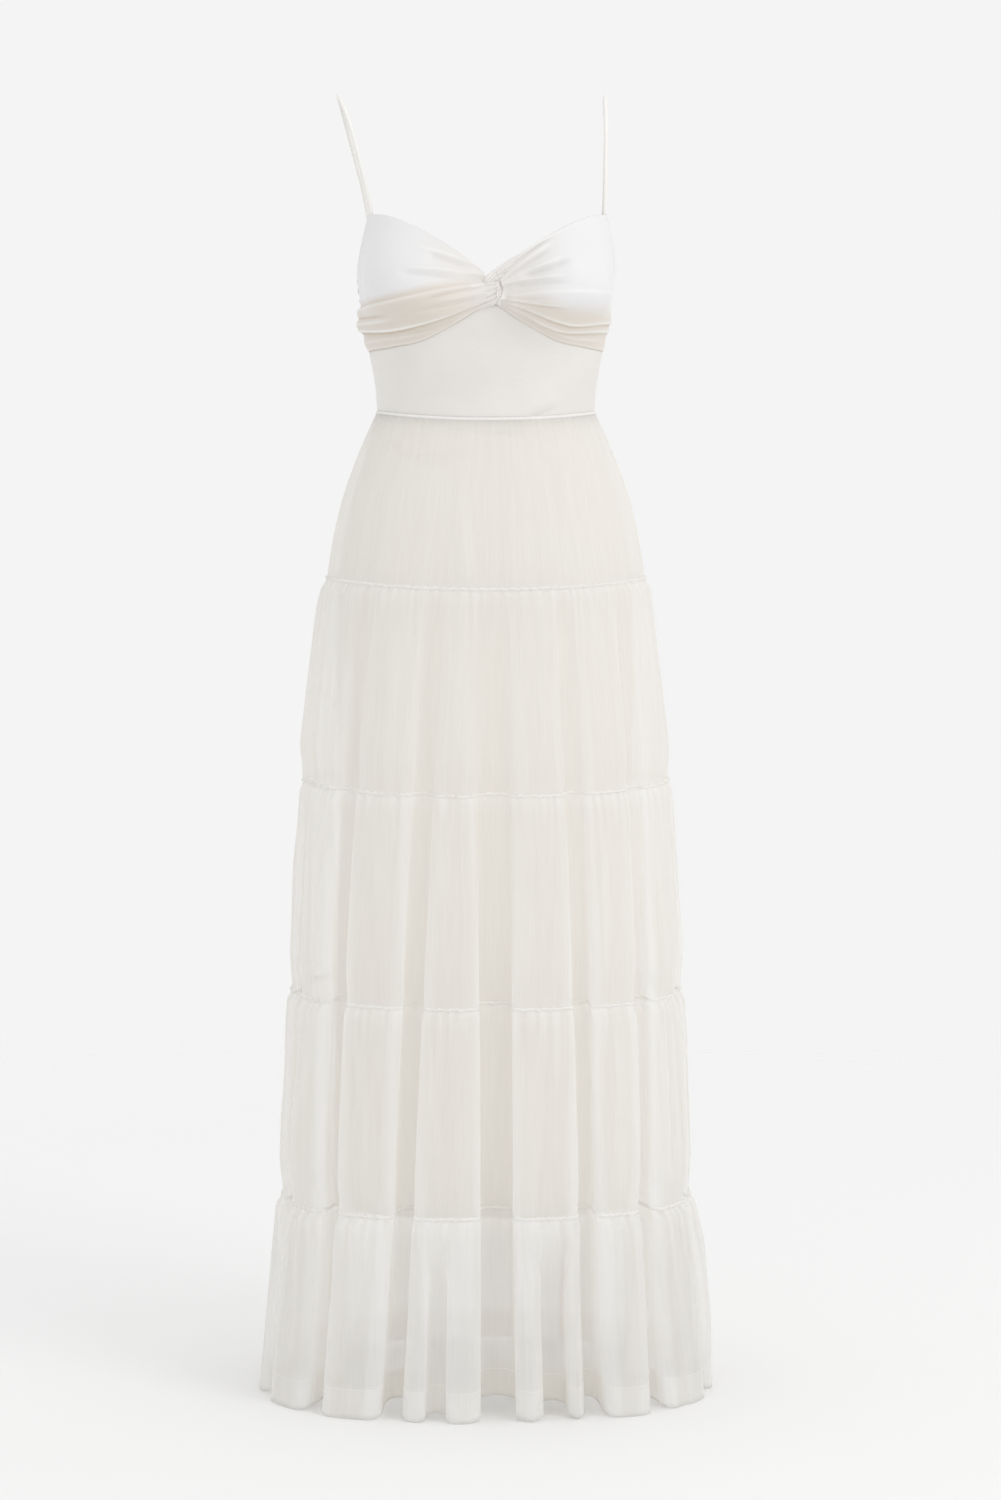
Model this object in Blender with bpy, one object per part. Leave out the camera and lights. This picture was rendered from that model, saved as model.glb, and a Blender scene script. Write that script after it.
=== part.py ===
"""A long tiered evening dress with thin straps, a twisted bust and a lining, in the hollow form that it has when worn.

Each piece of cloth is a closed wall between an outer and an inner surface. The dress faces -Y, its wearer's left
is +X, and the origin lies between the shoulders, level with the undersides of the straps. Heights are above the hem.
"""

import math
from collections import namedtuple

import bmesh
import bpy

SHOULDER_HEIGHT = 1.408
CLOTH = 0.0012
SEAM_GAP = 0.0003
SIDE_GAP_TURN = math.radians(0.09)
SQUARENESS = 0.025

QUARTER = math.pi / 2

# The seams that join the tiers, from the waist down to the hem. Each is a ring with its half-width to the sides and
# its reach to the front and back. It rises towards the sides, and in the deep folds, which get deeper lower down.
Seam = namedtuple("Seam", "height half_width front back side_rise fold_rise fold_depth")
WAIST = Seam(1.063, 0.1192, 0.0905, 0.0885, 0.008, 0.000, 0.000)
HIP = Seam(0.882, 0.1735, 0.1310, 0.1500, 0.010, 0.000, 0.002)
THIGH = Seam(0.663, 0.2000, 0.1520, 0.1720, 0.008, 0.002, 0.014)
KNEE = Seam(0.437, 0.2132, 0.1640, 0.1900, 0.004, 0.005, 0.026)
SHIN = Seam(0.2145, 0.2237, 0.1760, 0.2060, 0.000, 0.007, 0.040)
HEM = Seam(0.000, 0.2430, 0.1900, 0.2320, 0.000, 0.016, 0.066)

# The tiers between those seams. Each puffs out under its gathered top edge, and the top one rounds over the hips.
Tier = namedtuple("Tier", "name top bottom puff belly gathers gather_depth columns row_shares")
TIERS = (
    Tier("tier_1", WAIST, HIP, 0.000, 0.009, 18, 0.0008, 36, (0, 0.30, 0.65, 1)),
    Tier("tier_2", HIP, THIGH, 0.005, 0.000, 27, 0.0030, 54, (0, 0.07, 0.28, 0.64, 1)),
    Tier("tier_3", THIGH, KNEE, 0.0038, 0.001, 27, 0.0032, 54, (0, 0.07, 0.28, 0.64, 1)),
    Tier("tier_4", KNEE, SHIN, 0.005, 0.001, 27, 0.0034, 54, (0, 0.07, 0.28, 0.64, 1)),
    Tier("tier_5", SHIN, HEM, 0.007, 0.000, 27, 0.0038, 54, (0, 0.08, 0.30, 0.66, 1)),
)
PUFF_SHARE = 0.06
PUFF_END = 0.80
GATHER_SHARE = 0.10
GATHER_LEFT = 0.45
GATHER_DRIFT = 0.7
GATHER_SHIFT = 9.0

# The deep folds that run down the skirt, with where each lies round the ring at the hips and at the hem, in degrees
# from the front, its half-width, and its depth as a share of the seams' fold depth.
DeepFold = namedtuple("DeepFold", "at_hips at_hem half_width depth starts")
DEEP_FOLDS = (
    DeepFold(-46, -49, 7.5, 0.75, 1.00),
    DeepFold(-18, -25, 6.5, 0.85, 1.00),
    DeepFold(-14, -13.5, 5.0, 0.38, 0.24),
    DeepFold(0.5, 1.2, 9.5, 1.00, 1.00),
    DeepFold(14, 15.0, 7.0, 0.75, 0.24),
    DeepFold(24.0, 25.5, 6.0, 0.85, 1.00),
    DeepFold(50, 45, 7.5, 0.75, 1.00),
    DeepFold(77, 75, 8.5, 0.45, 0.80),
    DeepFold(104, 101, 9.0, 0.80, 1.00),
    DeepFold(131, 127, 8.5, 0.70, 1.00),
    DeepFold(150, 152, 8.5, 0.95, 1.00),
    DeepFold(177, 176, 9.5, 0.80, 1.00),
    DeepFold(204, 201, 8.0, 0.90, 1.00),
    DeepFold(228, 229, 8.5, 0.65, 1.00),
    DeepFold(258, 255, 9.0, 0.80, 1.00),
    DeepFold(286, 283, 8.5, 0.50, 0.80),
)

FOLD_OPENING = 0.09

# The lining under the skirt, a narrow slip that ends just below the lowest gathered seam.
Ring = namedtuple("Ring", "height half_width front back")
LINING_RINGS = (
    Ring(1.030, 0.1280, 0.0970, 0.1000),
    Ring(0.976, 0.1460, 0.1090, 0.1240),
    Ring(0.900, 0.1600, 0.1170, 0.1380),
    Ring(0.660, 0.1620, 0.1195, 0.1420),
    Ring(0.420, 0.1645, 0.1210, 0.1440),
    Ring(0.207, 0.1680, 0.1230, 0.1460),
)
LINING_SEAT_DROP = 0.010
LINING_GAP = 0.0007
LINING_COLUMNS = 22

# The torso that the bodice follows, and the two cups that round out from it.
BODICE_RINGS = (
    Ring(1.063, 0.1177, 0.0890, 0.0870),
    Ring(1.100, 0.1205, 0.0915, 0.0860),
    Ring(1.130, 0.1255, 0.0935, 0.0870),
    Ring(1.170, 0.1320, 0.0930, 0.0900),
    Ring(1.210, 0.1380, 0.0920, 0.0930),
    Ring(1.250, 0.1405, 0.0920, 0.0950),
    Ring(1.290, 0.1405, 0.0920, 0.0950),
)
CUP_TURN = math.radians(32)
CUP_HEIGHT = 1.203
CUP_DEPTH = 0.048
CUP_HALF_TURN = math.radians(26)
CUP_RISE = 0.062
CUP_FALL = 0.046
CUP_ROUNDNESS = 1.2

# The outline of one bust panel, from the twist in the middle to the side. Turns are degrees from the front.
EdgePoint = namedtuple("EdgePoint", "turn height")
NECKLINE = (
    EdgePoint(2.2, 1.2175),
    EdgePoint(12, 1.2395),
    EdgePoint(27, 1.2640),
    EdgePoint(43, 1.2785),
    EdgePoint(61, 1.2830),
)
UNDERBUST = (
    EdgePoint(2.2, 1.1840),
    EdgePoint(13, 1.1655),
    EdgePoint(29, 1.1465),
    EdgePoint(48, 1.1400),
    EdgePoint(90, 1.1365),
)
ARMHOLE = (
    EdgePoint(90, 1.2180),
    EdgePoint(80, 1.2290),
    EdgePoint(69, 1.2520),
    EdgePoint(61, 1.2830),
)
ARMHOLE_SHARE = 0.60
BACK_TOP_HEIGHT = 1.2180
PANEL_COLUMNS = 12
PANEL_ROWS = 16
BACK_COLUMNS = 24
MIDRIFF_ROWS = (0, 0.33, 0.67, 1)
BACK_ROWS = (0, 0.2, 0.4, 0.6, 0.8, 1)
DRAPE_STAND = 0.0012

# The soft pleats that run from the twist over each bust panel. Across is the place from the lower edge, 0, to the
# neckline, 1, and reach is how far out the pleat runs, of the way to the side.
Pleat = namedtuple("Pleat", "across half_width height reach")
RIGHT_PLEATS = (
    Pleat(0.08, 0.06, 0.0022, 1.0),
    Pleat(0.22, 0.07, 0.0026, 1.0),
    Pleat(0.37, 0.07, 0.0030, 1.0),
    Pleat(0.58, 0.07, 0.0022, 0.60),
    Pleat(0.76, 0.07, 0.0020, 0.50),
    Pleat(0.93, 0.06, 0.0014, 0.80),
)
LEFT_PLEATS = (
    Pleat(0.07, 0.06, 0.0022, 1.0),
    Pleat(0.19, 0.06, 0.0024, 1.0),
    Pleat(0.31, 0.06, 0.0022, 0.9),
    Pleat(0.44, 0.06, 0.0030, 1.0),
    Pleat(0.58, 0.06, 0.0024, 0.60),
    Pleat(0.71, 0.06, 0.0026, 0.55),
    Pleat(0.84, 0.06, 0.0020, 0.50),
    Pleat(0.95, 0.05, 0.0014, 0.45),
)

PLEAT_AT_TWIST = 0.2
PLEAT_RISE = 0.15

# The two loops that the bust panels make round each other in the middle, as sections from the bottom up. The right
# panel's is the lower one.
LoopSection = namedtuple("LoopSection", "height centre_x half_width half_depth")
LOWER_LOOP = (
    LoopSection(1.1830, 0.0030, 0.0050, 0.0020),
    LoopSection(1.1870, 0.0030, 0.0085, 0.0046),
    LoopSection(1.1930, 0.0016, 0.0100, 0.0062),
    LoopSection(1.1990, 0.0000, 0.0094, 0.0056),
    LoopSection(1.2030, -0.0016, 0.0060, 0.0030),
)
UPPER_LOOP = (
    LoopSection(1.2035, -0.0030, 0.0056, 0.0028),
    LoopSection(1.2065, -0.0026, 0.0080, 0.0052),
    LoopSection(1.2110, -0.0004, 0.0090, 0.0056),
    LoopSection(1.2160, 0.0020, 0.0078, 0.0044),
    LoopSection(1.2195, 0.0040, 0.0050, 0.0020),
)
LOOP_SIDES = 12
LOOP_STAND = 0.0024

# The straps, thin rolls of cloth that run from the front corners of the bust over the shoulders to the back. The
# right one lies further out over its shoulder. Its ends stand on the edges of the bust and back.
STRAP_RADIUS = 0.0023
STRAP_STEPS = 30
StrapPoint = namedtuple("StrapPoint", "share x y height")
LEFT_STRAP = (
    StrapPoint(0.000, 0.1254, -0.0475, 1.2837),
    StrapPoint(0.135, 0.1262, -0.0515, 1.3360),
    StrapPoint(0.255, 0.1272, -0.0440, 1.3810),
    StrapPoint(0.364, 0.1285, -0.0140, 1.4103),
    StrapPoint(0.465, 0.1310, 0.0240, 1.4080),
    StrapPoint(0.582, 0.1345, 0.0560, 1.3780),
    StrapPoint(0.790, 0.1340, 0.0700, 1.3000),
    StrapPoint(1.000, 0.1200, 0.0537, 1.2187),
)
RIGHT_STRAP = (
    StrapPoint(0.000, -0.1254, -0.0475, 1.2841),
    StrapPoint(0.135, -0.1370, -0.0515, 1.3360),
    StrapPoint(0.255, -0.1490, -0.0440, 1.3810),
    StrapPoint(0.364, -0.1595, -0.0140, 1.4103),
    StrapPoint(0.465, -0.1580, 0.0240, 1.4080),
    StrapPoint(0.582, -0.1490, 0.0560, 1.3780),
    StrapPoint(0.790, -0.1290, 0.0700, 1.3000),
    StrapPoint(1.000, -0.1200, 0.0537, 1.2189),
)

# Colours, roughness and metallic values.
Finish = namedtuple("Finish", "name colour roughness")
MESH_FINISH = Finish("stretch_mesh", (0.86, 0.84, 0.79, 1.0), 0.75)
BODICE_FINISH = Finish("bodice_mesh", (0.88, 0.865, 0.82, 1.0), 0.70)
LINING_FINISH = Finish("lining_jersey", (0.88, 0.86, 0.81, 1.0), 0.65)
STRAP_FINISH = Finish("strap_jersey", (0.89, 0.88, 0.84, 1.0), 0.65)


def smooth(share):
    """Rises from 0 to 1 with level ends."""
    share = min(max(share, 0.0), 1.0)
    return share * share * (3 - 2 * share)


def mix(start, end, share):
    return start + (end - start) * share


def along_table(rows, key, column, at):
    """A column's value at a place in another column, on a smooth curve through the rows."""
    keys = [getattr(row, key) for row in rows]
    values = [getattr(row, column) for row in rows]
    if keys[0] > keys[-1]:
        keys.reverse()
        values.reverse()
    at = min(max(at, keys[0]), keys[-1])
    last = len(keys) - 2
    i = min(max(sum(1 for k in keys[1:] if k <= at), 0), last)
    span = keys[i + 1] - keys[i]
    share = (at - keys[i]) / span
    slope = (values[i + 1] - values[i]) / span
    before = (values[i] - values[i - 1]) / (keys[i] - keys[i - 1]) if i > 0 else slope
    after = (values[i + 2] - values[i + 1]) / (keys[i + 2] - keys[i + 1]) if i < last else slope
    start_slope = (before + slope) / 2 * span
    end_slope = (slope + after) / 2 * span
    square, cube = share**2, share**3
    return (
        values[i] * (2 * cube - 3 * square + 1)
        + start_slope * (cube - 2 * square + share)
        + values[i + 1] * (3 * square - 2 * cube)
        + end_slope * (cube - square)
    )


def ring_through(rows, height):
    return Ring(
        height,
        along_table(rows, "height", "half_width", height),
        along_table(rows, "height", "front", height),
        along_table(rows, "height", "back", height),
    )


def on_ring(ring, turn):
    """The plan point of a rounded oval ring at a turn from the front, positive towards +X."""
    across = (math.sin(turn) + SQUARENESS * math.sin(3 * turn)) / (1 - SQUARENESS)
    ahead = (math.cos(turn) - SQUARENESS * math.cos(3 * turn)) / (1 - SQUARENESS)
    return ring.half_width * across, -(ring.front if ahead > 0 else ring.back) * ahead


def plan_normal(plan, turn):
    """The outward direction, in plan, of a closed curve given as a function of the turn."""
    step = 1e-4
    x0, y0 = plan(turn - step)
    x1, y1 = plan(turn + step)
    length = math.hypot(x1 - x0, y1 - y0)
    return (y1 - y0) / length, -(x1 - x0) / length


def moved_out(plan, turn, distance):
    x, y = plan(turn)
    out_x, out_y = plan_normal(plan, turn)
    return x + out_x * distance, y + out_y * distance


def point(x, y, height):
    """A point in the dress's frame, from its height above the hem."""
    return (x, y, height - SHOULDER_HEIGHT)


def deep_fold(turn, height):
    """How far into the deep folds a place on the skirt lies, from 0 on a crest to 1 in the deepest."""
    lowered = 1 - height / HIP.height
    depth = 0.0
    for fold in DEEP_FOLDS:
        if height > fold.starts * HIP.height:
            continue
        centre = mix(fold.at_hips, fold.at_hem, lowered)
        away = abs((math.degrees(turn) - centre + 180) % 360 - 180) / fold.half_width
        if away < 1:
            opened = smooth((fold.starts * HIP.height - height) / FOLD_OPENING) if fold.starts < 1 else 1.0
            depth = max(depth, fold.depth * opened * math.cos(away * QUARTER) ** 2)
    return depth


def gather_wave(tier, turn):
    """The gathers' unevenly spaced wave round a tier, from -1 to 1."""
    return math.sin(tier.gathers * turn + GATHER_DRIFT * math.sin(2 * turn + tier.top.height * GATHER_SHIFT))


def tier_out(tier, turn, share):
    """How far a tier stands out from its ring at a share of the way down."""
    is_hem = tier.bottom is HEM
    falls = 1.0 if is_hem else 1 - smooth((share - PUFF_END) / (1 - PUFF_END))
    puff = tier.puff * smooth(share / PUFF_SHARE) * falls
    belly = tier.belly * math.sin(math.pi * share)
    gathered = smooth(share / GATHER_SHARE) * mix(1, GATHER_LEFT, share) * (1.0 if is_hem else falls)
    height = mix(tier.top.height, tier.bottom.height, share)
    fold_depth = mix(tier.top.fold_depth, tier.bottom.fold_depth, share)
    fold = fold_depth * deep_fold(turn, height)
    return puff + belly + tier.gather_depth * gathered * gather_wave(tier, turn) - fold


def tier_plan(tier, share):
    """The plan curve of a tier's outer surface, as a function of the turn."""
    ring = Ring(*(mix(getattr(tier.top, name), getattr(tier.bottom, name), share) for name in Ring._fields))

    def smooth_ring(turn):
        return on_ring(ring, turn)

    def plan(turn):
        return moved_out(smooth_ring, turn, tier_out(tier, turn, share))

    return plan


def seam_height(seam, turn):
    return seam.height + seam.side_rise * math.sin(turn) ** 2 + seam.fold_rise * deep_fold(turn, seam.height)


def turns_between(start, end, columns):
    """Evenly spaced turns from one side seam to the other, drawn in a little at each end."""
    first, last = start + SIDE_GAP_TURN, end - SIDE_GAP_TURN
    return [mix(first, last, i / columns) for i in range(columns + 1)]


def cloth_wall(name, outer, inner, finish, parts):
    """One closed piece of cloth between two grids of points with the same rows and columns."""
    shell = bmesh.new()
    sides = [[[shell.verts.new(p) for p in row] for row in grid] for grid in (outer, inner)]
    rows, columns = len(outer) - 1, len(outer[0]) - 1
    for side in sides:
        for i in range(rows):
            for j in range(columns):
                shell.faces.new((side[i][j], side[i][j + 1], side[i + 1][j + 1], side[i + 1][j]))
    front, back = sides
    rim = [(0, j) for j in range(columns)]
    rim += [(i, columns) for i in range(rows)]
    rim += [(rows, j) for j in range(columns, 0, -1)]
    rim += [(i, 0) for i in range(rows, 0, -1)]
    for (i, j), (k, m) in zip(rim, rim[1:] + rim[:1]):
        shell.faces.new((front[i][j], front[k][m], back[k][m], back[i][j]))
    bmesh.ops.recalc_face_normals(shell, faces=shell.faces)
    add_part(name, shell, finish, parts)


def add_part(name, shell, finish, parts):
    """Puts a finished bmesh in the dress's collection as a named object with its material."""
    mesh = bpy.data.meshes.new(name)
    shell.to_mesh(mesh)
    shell.free()
    mesh.shade_smooth()
    mesh.set_sharp_from_angle(angle=math.radians(50))
    mesh.materials.append(material_of(finish))
    parts.objects.link(bpy.data.objects.new(name, mesh))


def material_of(finish):
    material = bpy.data.materials.get(finish.name)
    if material is None:
        material = bpy.data.materials.new(finish.name)
        material.use_nodes = True
        shader = material.node_tree.nodes["Principled BSDF"]
        shader.inputs["Base Color"].default_value = finish.colour
        shader.inputs["Roughness"].default_value = finish.roughness
        shader.inputs["Metallic"].default_value = 0.0
    return material


def skirt_tiers(parts):
    """The five tiers of the skirt, each cut as a front and a back that meet at the side seams."""
    for tier in TIERS:
        for side, start in (("front", -QUARTER), ("back", QUARTER)):
            turns = turns_between(start, start + math.pi, tier.columns)
            outer, inner = [], []
            for share in tier.row_shares:
                plan = tier_plan(tier, share)
                outer_row, inner_row = [], []
                for turn in turns:
                    top = seam_height(tier.top, turn) - SEAM_GAP / 2
                    bottom = seam_height(tier.bottom, turn)
                    bottom += 0.0 if tier.bottom is HEM else SEAM_GAP / 2
                    height = mix(top, bottom, share)
                    outer_row.append(point(*plan(turn), height))
                    inner_row.append(point(*moved_out(plan, turn, -CLOTH), height))
                outer.append(outer_row)
                inner.append(inner_row)
            cloth_wall(f"{tier.name}_{side}", outer, inner, MESH_FINISH, parts)


def lining(parts):
    """The lining's front and back, hung from the waist seam just inside the top tier."""
    yoke = TIERS[0]
    seat_share = LINING_SEAT_DROP / (yoke.top.height - yoke.bottom.height)
    for side, start in (("front", -QUARTER), ("back", QUARTER)):
        turns = turns_between(start, start + math.pi, LINING_COLUMNS)
        outer, inner = [], []
        for share in (0.0, seat_share):
            plan = tier_plan(yoke, share)
            heights = [mix(seam_height(yoke.top, t), yoke.bottom.height, share) - SEAM_GAP / 2 for t in turns]
            outer.append([point(*moved_out(plan, t, -CLOTH - LINING_GAP), h) for t, h in zip(turns, heights)])
            inner.append([point(*moved_out(plan, t, -2 * CLOTH - LINING_GAP), h) for t, h in zip(turns, heights)])
        for ring in LINING_RINGS:
            def plan(turn, ring=ring):
                return on_ring(ring, turn)

            outer.append([point(*plan(t), ring.height) for t in turns])
            inner.append([point(*moved_out(plan, t, -CLOTH), ring.height) for t in turns])
        cloth_wall(f"lining_{side}", outer, inner, LINING_FINISH, parts)


def cup_out(turn, height):
    """How far the bust cups round the bodice out."""
    rise = height - CUP_HEIGHT
    tall = rise / (CUP_RISE if rise > 0 else CUP_FALL)
    out = 0.0
    for side in (-1, 1):
        wide = (turn - side * CUP_TURN) / CUP_HALF_TURN
        out += CUP_DEPTH * math.exp(-((wide**2 + tall**2) ** CUP_ROUNDNESS))
    return out


def bodice_point(turn, height, out):
    """A point that stands out from the bodice's surface by a distance, measured level."""
    ring = ring_through(BODICE_RINGS, height)

    def plan(at):
        return on_ring(ring, at)

    return point(*moved_out(plan, turn, cup_out(turn, height) + out), height)


def edge_height(edge, turn):
    return along_table(edge, "turn", "height", abs(math.degrees(turn)))


def waist_edge(turn):
    return seam_height(WAIST, turn) + SEAM_GAP / 2


def midriff_turns():
    """The bust panels' own turns along their lower edges, with the space below the twist between them."""
    start, end = UNDERBUST[0].turn, UNDERBUST[-1].turn
    half = [math.radians(mix(start, end, j / PANEL_COLUMNS)) for j in range(PANEL_COLUMNS)]
    half.append(QUARTER - SIDE_GAP_TURN)
    return [-turn for turn in reversed(half)] + [0.0] + half


def bodice_panel(name, turns, top_of, row_shares, finish, parts):
    """A smooth bodice panel from the waist seam up to an edge given as a function of the turn."""
    outer, inner = [], []
    for share in row_shares:
        heights = [mix(waist_edge(turn), top_of(turn), share) for turn in turns]
        outer.append([bodice_point(t, h, 0.0) for t, h in zip(turns, heights)])
        inner.append([bodice_point(t, h, -CLOTH) for t, h in zip(turns, heights)])
    cloth_wall(name, outer, inner, finish, parts)


def midriff_and_back(parts):
    def under_bust(turn):
        return edge_height(UNDERBUST, turn) - SEAM_GAP

    def back_top(_turn):
        return BACK_TOP_HEIGHT

    back_turns = turns_between(QUARTER, 3 * QUARTER, BACK_COLUMNS)
    bodice_panel("midriff_front", midriff_turns(), under_bust, MIDRIFF_ROWS, BODICE_FINISH, parts)
    bodice_panel("bodice_back", back_turns, back_top, BACK_ROWS, BODICE_FINISH, parts)


def edge_at(edge, share):
    """The turn and height at a share of the way along an edge's points."""
    turn = mix(edge[0].turn, edge[-1].turn, share)
    return math.radians(turn), along_table(edge, "turn", "height", turn)


def outer_edge(across):
    """The bust panel's outer edge: up the side seam, then along the armhole to the strap."""
    if across <= ARMHOLE_SHARE:
        height = mix(UNDERBUST[-1].height, ARMHOLE[0].height, across / ARMHOLE_SHARE)
        return QUARTER, height
    return edge_at(ARMHOLE, (across - ARMHOLE_SHARE) / (1 - ARMHOLE_SHARE))


def panel_place(along, across):
    """The turn and height of a place on a bust panel, blended from its four edges."""
    lower, upper = edge_at(UNDERBUST, along), edge_at(NECKLINE, along)
    start_low, start_high = edge_at(UNDERBUST, 0), edge_at(NECKLINE, 0)
    end_low, end_high = edge_at(UNDERBUST, 1), edge_at(NECKLINE, 1)
    side = outer_edge(across)
    place = []
    for k in (0, 1):
        middle = mix(start_low[k], start_high[k], across)
        corners = mix(mix(start_low[k], start_high[k], across), mix(end_low[k], end_high[k], across), along)
        place.append(mix(lower[k], upper[k], across) + mix(middle, side[k], along) - corners)
    return place


def pleat_out(pleats, along, across):
    """How far the pleats raise a place on a bust panel. They fade out towards their reach."""
    out = 0.0
    for pleat in pleats:
        away = abs(across - pleat.across) / pleat.half_width
        if away < 1:
            fade = 1.0 if pleat.reach >= 1 else 1 - smooth((along - pleat.reach * 0.5) / (pleat.reach * 0.5))
            out += pleat.height * fade * math.cos(away * QUARTER) ** 2
    return out * mix(PLEAT_AT_TWIST, 1, smooth(along / PLEAT_RISE))


def bust_panels(parts):
    """The two pleated panels that cover the bust and end in the twist."""
    for side, sign, pleats in (("left", 1, LEFT_PLEATS), ("right", -1, RIGHT_PLEATS)):
        outer, inner = [], []
        for i in range(PANEL_ROWS + 1):
            across = i / PANEL_ROWS
            outer_row, inner_row = [], []
            for j in range(PANEL_COLUMNS + 1):
                along = j / PANEL_COLUMNS
                turn, height = panel_place(along, across)
                turn = sign * min(turn, QUARTER - SIDE_GAP_TURN)
                out = DRAPE_STAND + pleat_out(pleats, along, across)
                outer_row.append(bodice_point(turn, height, out))
                inner_row.append(bodice_point(turn, height, -CLOTH))
            outer.append(outer_row)
            inner.append(inner_row)
        cloth_wall(f"bust_panel_{side}", outer, inner, BODICE_FINISH, parts)


def twist_loops(parts):
    """The two rounded loops of the twist, one above the other."""
    for name, sections in (("twist_loop_right", LOWER_LOOP), ("twist_loop_left", UPPER_LOOP)):
        shell = bmesh.new()
        rings = []
        for section in sections:
            _, front_y, z = bodice_point(0.0, section.height, LOOP_STAND + section.half_depth)
            ring = []
            for k in range(LOOP_SIDES):
                angle = 2 * math.pi * k / LOOP_SIDES
                x = section.centre_x + section.half_width * math.cos(angle)
                y = front_y + section.half_depth * math.sin(angle)
                ring.append(shell.verts.new((x, y, z)))
            rings.append(ring)
        for low, high in zip(rings, rings[1:]):
            for k in range(LOOP_SIDES):
                after = (k + 1) % LOOP_SIDES
                shell.faces.new((low[k], low[after], high[after], high[k]))
        shell.faces.new(rings[0])
        shell.faces.new(rings[-1])
        bmesh.ops.recalc_face_normals(shell, faces=shell.faces)
        add_part(name, shell, BODICE_FINISH, parts)


def straps(parts):
    for name, route in (("strap_left", LEFT_STRAP), ("strap_right", RIGHT_STRAP)):
        curve = bpy.data.curves.new(name, "CURVE")
        curve.dimensions = "3D"
        curve.bevel_depth = STRAP_RADIUS
        curve.bevel_resolution = 2
        curve.use_fill_caps = True
        spline = curve.splines.new("POLY")
        spline.points.add(STRAP_STEPS)
        for i, spline_point in enumerate(spline.points):
            share = i / STRAP_STEPS
            x, y, height = (along_table(route, "share", column, share) for column in ("x", "y", "height"))
            spline_point.co = (*point(x, y, height), 1.0)
        curve.materials.append(material_of(STRAP_FINISH))
        parts.objects.link(bpy.data.objects.new(name, curve))


def build():
    for old in list(bpy.data.objects):
        bpy.data.objects.remove(old)
    parts = bpy.data.collections.new("evening_dress")
    bpy.context.scene.collection.children.link(parts)
    skirt_tiers(parts)
    lining(parts)
    midriff_and_back(parts)
    bust_panels(parts)
    twist_loops(parts)
    straps(parts)


build()
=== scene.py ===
import math
from collections import namedtuple

import bmesh
import bpy
import numpy as np
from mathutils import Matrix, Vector


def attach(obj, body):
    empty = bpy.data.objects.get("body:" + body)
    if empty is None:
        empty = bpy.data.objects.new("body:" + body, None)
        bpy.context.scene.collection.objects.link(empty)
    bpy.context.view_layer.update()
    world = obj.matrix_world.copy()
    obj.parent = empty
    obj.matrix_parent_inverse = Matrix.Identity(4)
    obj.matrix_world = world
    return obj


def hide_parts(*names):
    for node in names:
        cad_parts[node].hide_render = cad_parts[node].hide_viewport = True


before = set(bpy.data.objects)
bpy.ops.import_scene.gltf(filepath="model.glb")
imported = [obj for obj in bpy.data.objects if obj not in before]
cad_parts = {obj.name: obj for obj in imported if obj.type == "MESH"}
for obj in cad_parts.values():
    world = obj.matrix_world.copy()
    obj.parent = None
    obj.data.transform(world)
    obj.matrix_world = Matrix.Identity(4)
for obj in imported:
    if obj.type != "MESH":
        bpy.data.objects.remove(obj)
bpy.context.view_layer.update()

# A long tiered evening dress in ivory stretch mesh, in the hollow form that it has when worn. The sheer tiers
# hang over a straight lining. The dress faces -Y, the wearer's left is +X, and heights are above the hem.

MM = 0.001
SHOULDER_HEIGHT = 1.408
CLOTH = 0.0012
SQUARENESS = 0.025
QUARTER = math.pi / 2
FULL_TURN = 2 * math.pi

# The seams between the tiers, and the tiers, in the same sizes as the solids. Each seam is a ring that rises
# towards the sides and in the deep folds.
Seam = namedtuple("Seam", "height half_width front back side_rise fold_rise fold_depth")
WAIST = Seam(1.063, 0.1192, 0.0905, 0.0885, 0.008, 0.000, 0.000)
HIP = Seam(0.882, 0.1735, 0.1310, 0.1500, 0.010, 0.000, 0.002)
THIGH = Seam(0.663, 0.2000, 0.1520, 0.1720, 0.008, 0.002, 0.014)
KNEE = Seam(0.437, 0.2132, 0.1640, 0.1900, 0.004, 0.005, 0.026)
SHIN = Seam(0.2145, 0.2237, 0.1760, 0.2060, 0.000, 0.007, 0.040)
HEM = Seam(0.000, 0.2430, 0.1900, 0.2320, 0.000, 0.016, 0.066)

# Gathers are the small ones at each tier's top edge, by count round the ring. Waves are the broader soft
# folds below.
Tier = namedtuple("Tier", "name top bottom puff belly gathers gather_depth waves wave_depth rows seed")
TIERS = (
    Tier("tier_1", WAIST, HIP, 0.000, 0.009, 96, 0.0007, 15, 0.0010, 46, 3),
    Tier("tier_2", HIP, THIGH, 0.005, 0.000, 112, 0.0019, 31, 0.0036, 46, 11),
    Tier("tier_3", THIGH, KNEE, 0.0038, 0.001, 118, 0.0021, 33, 0.0040, 46, 23),
    Tier("tier_4", KNEE, SHIN, 0.005, 0.001, 122, 0.0022, 34, 0.0044, 46, 37),
    Tier("tier_5", SHIN, HEM, 0.007, 0.000, 126, 0.0024, 33, 0.0050, 46, 41),
)
TIER_COLUMNS = 350
PUFF_SHARE = 0.06
PUFF_END = 0.80

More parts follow.
